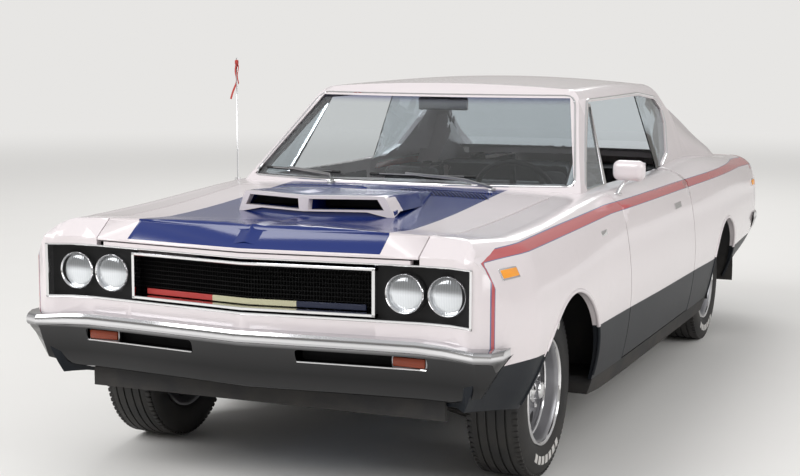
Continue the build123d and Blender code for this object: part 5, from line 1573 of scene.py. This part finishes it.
class CAR_OT_wheels(bpy.types.Operator):
    """Tyres with tread and white dashes, slotted wheels, rings, caps and nuts"""
    bl_idname = "car.wheels"
    bl_label = "Wheels"

    def execute(self, context):
        for end, side in WHEELS:
            name = end + "_" + side
            sense = 1 if side == "left" else -1
            y = FRONT_AXLE_Y if end == "front" else REAR_AXLE_Y
            place = here(sense * TRACK_HALF[end], y, HUB_Z) @ Matrix.Diagonal((sense, 1, 1, 1))
            body = "wheel_" + name
            tyre = lathe("tyre_wall_" + name, TYRE_PROFILE, place, "rubber", body, 96, 40.0)
            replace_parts(tyre, "tyre_" + name)
            smooth_copy("rim_" + name, "wheel_silver", 30.0)
            lathe("trim_ring_" + name, RING_PROFILE, place, "bright_plate", body, 72, 30.0)
            lathe("hub_cap_" + name, CAP_PROFILE, place, "bright_plate", body, 48, 30.0)
            self.tread(name, place, body)
            self.nuts(name, place, body)
            self.dashes(name, place, body)
        return {"FINISHED"}

    def ring(self, part, finish, depth, **values):
        """Parts round a wheel's axis, at a distance outward from its middle."""
        mesh = repeated("Parts Round Ring", None, part, finish, **values)
        mesh.transform(here(depth, 0, 0) @ Matrix.Rotation(math.pi / 2, 4, "Y"))
        return mesh

    def tread(self, name, place, body):
        """Blocks round both shoulders of the tread."""
        rows = [self.ring(block_mesh(0.1), "rubber", depth, Count=trim_settings().tread_blocks,
                          Radius=TREAD_RADIUS, Size=TREAD_BLOCK, Turn=0.0)
                for depth in (TREAD_DEPTH, -TREAD_DEPTH)]
        joined("tread_" + name, rows, "rubber", body, place)

    def nuts(self, name, place, body):
        """Five wheel nuts round the cap."""
        size = trim_settings().nut_size
        mesh = self.ring(nut_mesh(), "bright_plate", NUT_DEPTH, Count=NUT_COUNT,
                         Radius=NUT_RADIUS, Size=(size, size, size), Turn=0.3)
        placed("wheel_nuts_" + name, mesh, place, body)

    def dashes(self, name, place, body):
        """Two rows of plain white dashes on the tyre's outer side."""
        bm = bmesh.new()
        for middle in (90, 270):
            for i in range(DASHES):
                start = middle + (i - (DASHES - 1) / 2) * DASH_STEP - DASH_LENGTH / 2
                loft(bm, [section(DASH_PROFILE, place @ SIDEWAYS, turn)
                          for turn in turns_of((start, start + DASH_LENGTH), 4)])
        closed_piece("tyre_dashes_" + name, bm, "white_rubber", body)


class CAR_OT_cabin(bpy.types.Operator):
    """Seats, dashboard and steering wheel"""
    bl_idname = "car.cabin"
    bl_label = "Cabin"

    def execute(self, context):
        self.seats()
        smooth_copy("dashboard", "black_plastic")
        self.dials()
        smooth_copy("steering_wheel", "black_plastic", 40.0)
        self.mirror()
        return {"FINISHED"}

    def seats(self):
        """Padded front seats with high backs, and the rear bench."""
        pads = []
        for name, side in (("left", 1), ("right", -1)):
            x = side * SEAT_X
            pads.append(cushion("seat_pad_" + name, (x, -0.22, 0.405), (0.485, 0.47, 0.135),
                                0.0, 0.045, 3))
            cushion("seat_back_" + name, (x, 0.095, 0.735), (0.470, 0.085, 0.560),
                    SEAT_LEAN, 0.040, 3, 0.26)
        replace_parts(pads[0], "front_seats")
        bench = cushion("rear_pad", (0.0, 0.70, 0.455), (1.20, 0.40, 0.11), 0.0, 0.040, 6)
        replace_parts(bench, "rear_seat")
        cushion("rear_back", (0.0, 0.975, 0.700), (1.20, 0.085, 0.36), BENCH_LEAN, 0.035, 6)
        rows = mirrored(SEAT_X, -0.19, 0.300, (0.44, 0.48, 0.10), 0.02)
        chips("seat_bases", rows + [(here(0.0, 0.72, 0.375), (1.18, 0.30, 0.06), 0.02)],
              "black_plastic")

    def dials(self):
        """Three blank dials with bright rims before the driver."""
        rims, faces, needles = bmesh.new(), bmesh.new(), []
        for x, turn in DIALS:
            foot, _ = skin_point(("dashboard",), (x, 0.2, DIAL_Z), (0, -1, 0))
            place = Matrix.Translation(foot)
            turned(rims, DIAL_RIM, place)
            turned(faces, DIAL_FACE, place)
            needles.append((place @ Matrix.Rotation(turn, 4, "Y") @ here(0, 0.0018, 0.012),
                            (0.002, 0.0012, 0.034), 0.0004))
        closed_piece("dial_rims", rims, "bright_plate")
        closed_piece("dial_faces", faces, "mouth_black")
        chips("dial_needles", needles, "bar_white")

    def mirror(self):
        """Inside mirror under the windshield's top edge."""
        rows = [(here(0.0, -0.470, 1.325), (0.24, 0.022, 0.058), 0.010),
                (here(0.0, -0.440, 1.358), (0.020, 0.060, 0.014), 0.004)]
        chips("inside_mirror", rows, "dull_plate")


def cushion(name, centre, size, lean, edge, channels, top=None):
    """Stuffed pad: a rounded block swollen by cloth pressure, with sewn channels."""
    bm = bmesh.new()
    chip(bm, here(0, 0, 0), size, edge, 4)
    if top:
        narrow_top(bm, size, top)
    holder = linked(name + "_form", mesh_from(name, bm))
    remesh = holder.modifiers.new("even", "REMESH")
    remesh.mode, remesh.voxel_size = "VOXEL", PAD_VOXEL
    even = worked_out(holder)
    start = [v.co.copy() for v in even.vertices]
    swell(name, even)
    for vert, was in zip(even.vertices, start):
        move = vert.co - was
        if move.length > PAD_CAP:
            vert.co = was + move.normalized() * PAD_CAP
    bm = bmesh.new()
    bm.from_mesh(even)
    bmesh.ops.subdivide_edges(bm, edges=bm.edges[:], cuts=1, use_grid_fill=True, smooth=0.0)
    thin, outward = (1, -1) if size[1] < size[2] else (2, 1)
    for vert in bm.verts:
        offset = (vert.co.x / size[0] + 0.5) * channels
        near = abs(offset - round(offset)) * size[0] / channels
        face = vert.co[thin] / (size[thin] / 2) * outward
        if abs(vert.co.x) < size[0] * SEAM_REACH and face > SEAM_FACE:
            vert.co[thin] -= outward * SEAM_DEPTH * math.exp(-(near / SEAM_WIDTH) ** 2)
    turn = Matrix.Translation(centre) @ Matrix.Rotation(math.radians(lean), 4, "X")
    bmesh.ops.transform(bm, matrix=turn, verts=bm.verts)
    obj = new_object(name, mesh_from(name, bm, 80.0), "seat_vinyl", "root")
    return obj


def narrow_top(bm, size, top):
    """Draw in the upper part of a seat back to the width of its head rest."""
    low, high = size[2] * 0.15, size[2] / 2
    for vert in bm.verts:
        if vert.co.z > low:
            share = smooth_share(low, high, vert.co.z)
            vert.co.x *= 1 - (1 - top / size[0]) * share * 0.9


def swell(name, mesh):
    """Move a mesh's points as cloth under pressure from inside, with no gravity."""
    obj = linked(name + "_cloth", mesh.copy())
    cloth = obj.modifiers.new("stuffing", "CLOTH")
    cloth.settings.use_pressure = True
    cloth.settings.uniform_pressure_force = 4.0
    cloth.settings.effector_weights.gravity = 0.0
    cloth.point_cache.frame_start, cloth.point_cache.frame_end = 1, SWELL_FRAMES
    scene = bpy.context.scene
    for frame in range(1, SWELL_FRAMES + 1):
        scene.frame_set(frame)
    graph = bpy.context.evaluated_depsgraph_get()
    done = obj.evaluated_get(graph).data
    for vert, moved in zip(mesh.vertices, done.vertices):
        vert.co = moved.co.copy()
    bpy.data.objects.remove(obj)
    scene.frame_set(1)


STEPS = (CAR_OT_finishes, CAR_OT_stage, CAR_OT_panels, CAR_OT_glass, CAR_OT_nose,
         CAR_OT_brightwork, CAR_OT_underside, CAR_OT_wheels, CAR_OT_cabin)


class CAR_PT_panel(bpy.types.Panel):
    """Lists the car's finishing steps"""
    bl_idname = "CAR_PT_panel"
    bl_label = "Hardtop"
    bl_space_type = "VIEW_3D"
    bl_region_type = "UI"
    bl_category = "Hardtop"

    def draw(self, context):
        for step in STEPS:
            self.layout.operator(step.bl_idname)
        for owner in (stage_settings(), paint_settings(), trim_settings()):
            box = self.layout.box()
            for key in owner.bl_rna.properties.keys():
                if key not in ("rna_type", "name"):
                    box.prop(owner, key)


CLASSES = (StageSettings, PaintSettings, TrimSettings, *STEPS, CAR_PT_panel)


def register():
    for cls in CLASSES:
        bpy.utils.register_class(cls)
    bpy.types.Scene.car_stage = bpy.props.PointerProperty(type=StageSettings)
    bpy.types.Scene.car_paint = bpy.props.PointerProperty(type=PaintSettings)
    bpy.types.Scene.car_trim = bpy.props.PointerProperty(type=TrimSettings)


def unregister():
    del bpy.types.Scene.car_trim
    del bpy.types.Scene.car_paint
    del bpy.types.Scene.car_stage
    for cls in reversed(CLASSES):
        bpy.utils.unregister_class(cls)


def main():
    """Run every step."""
    register()
    for step in STEPS:
        family, step_name = step.bl_idname.split(".")
        getattr(getattr(bpy.ops, family), step_name)()


if __name__ == "__main__":
    main()
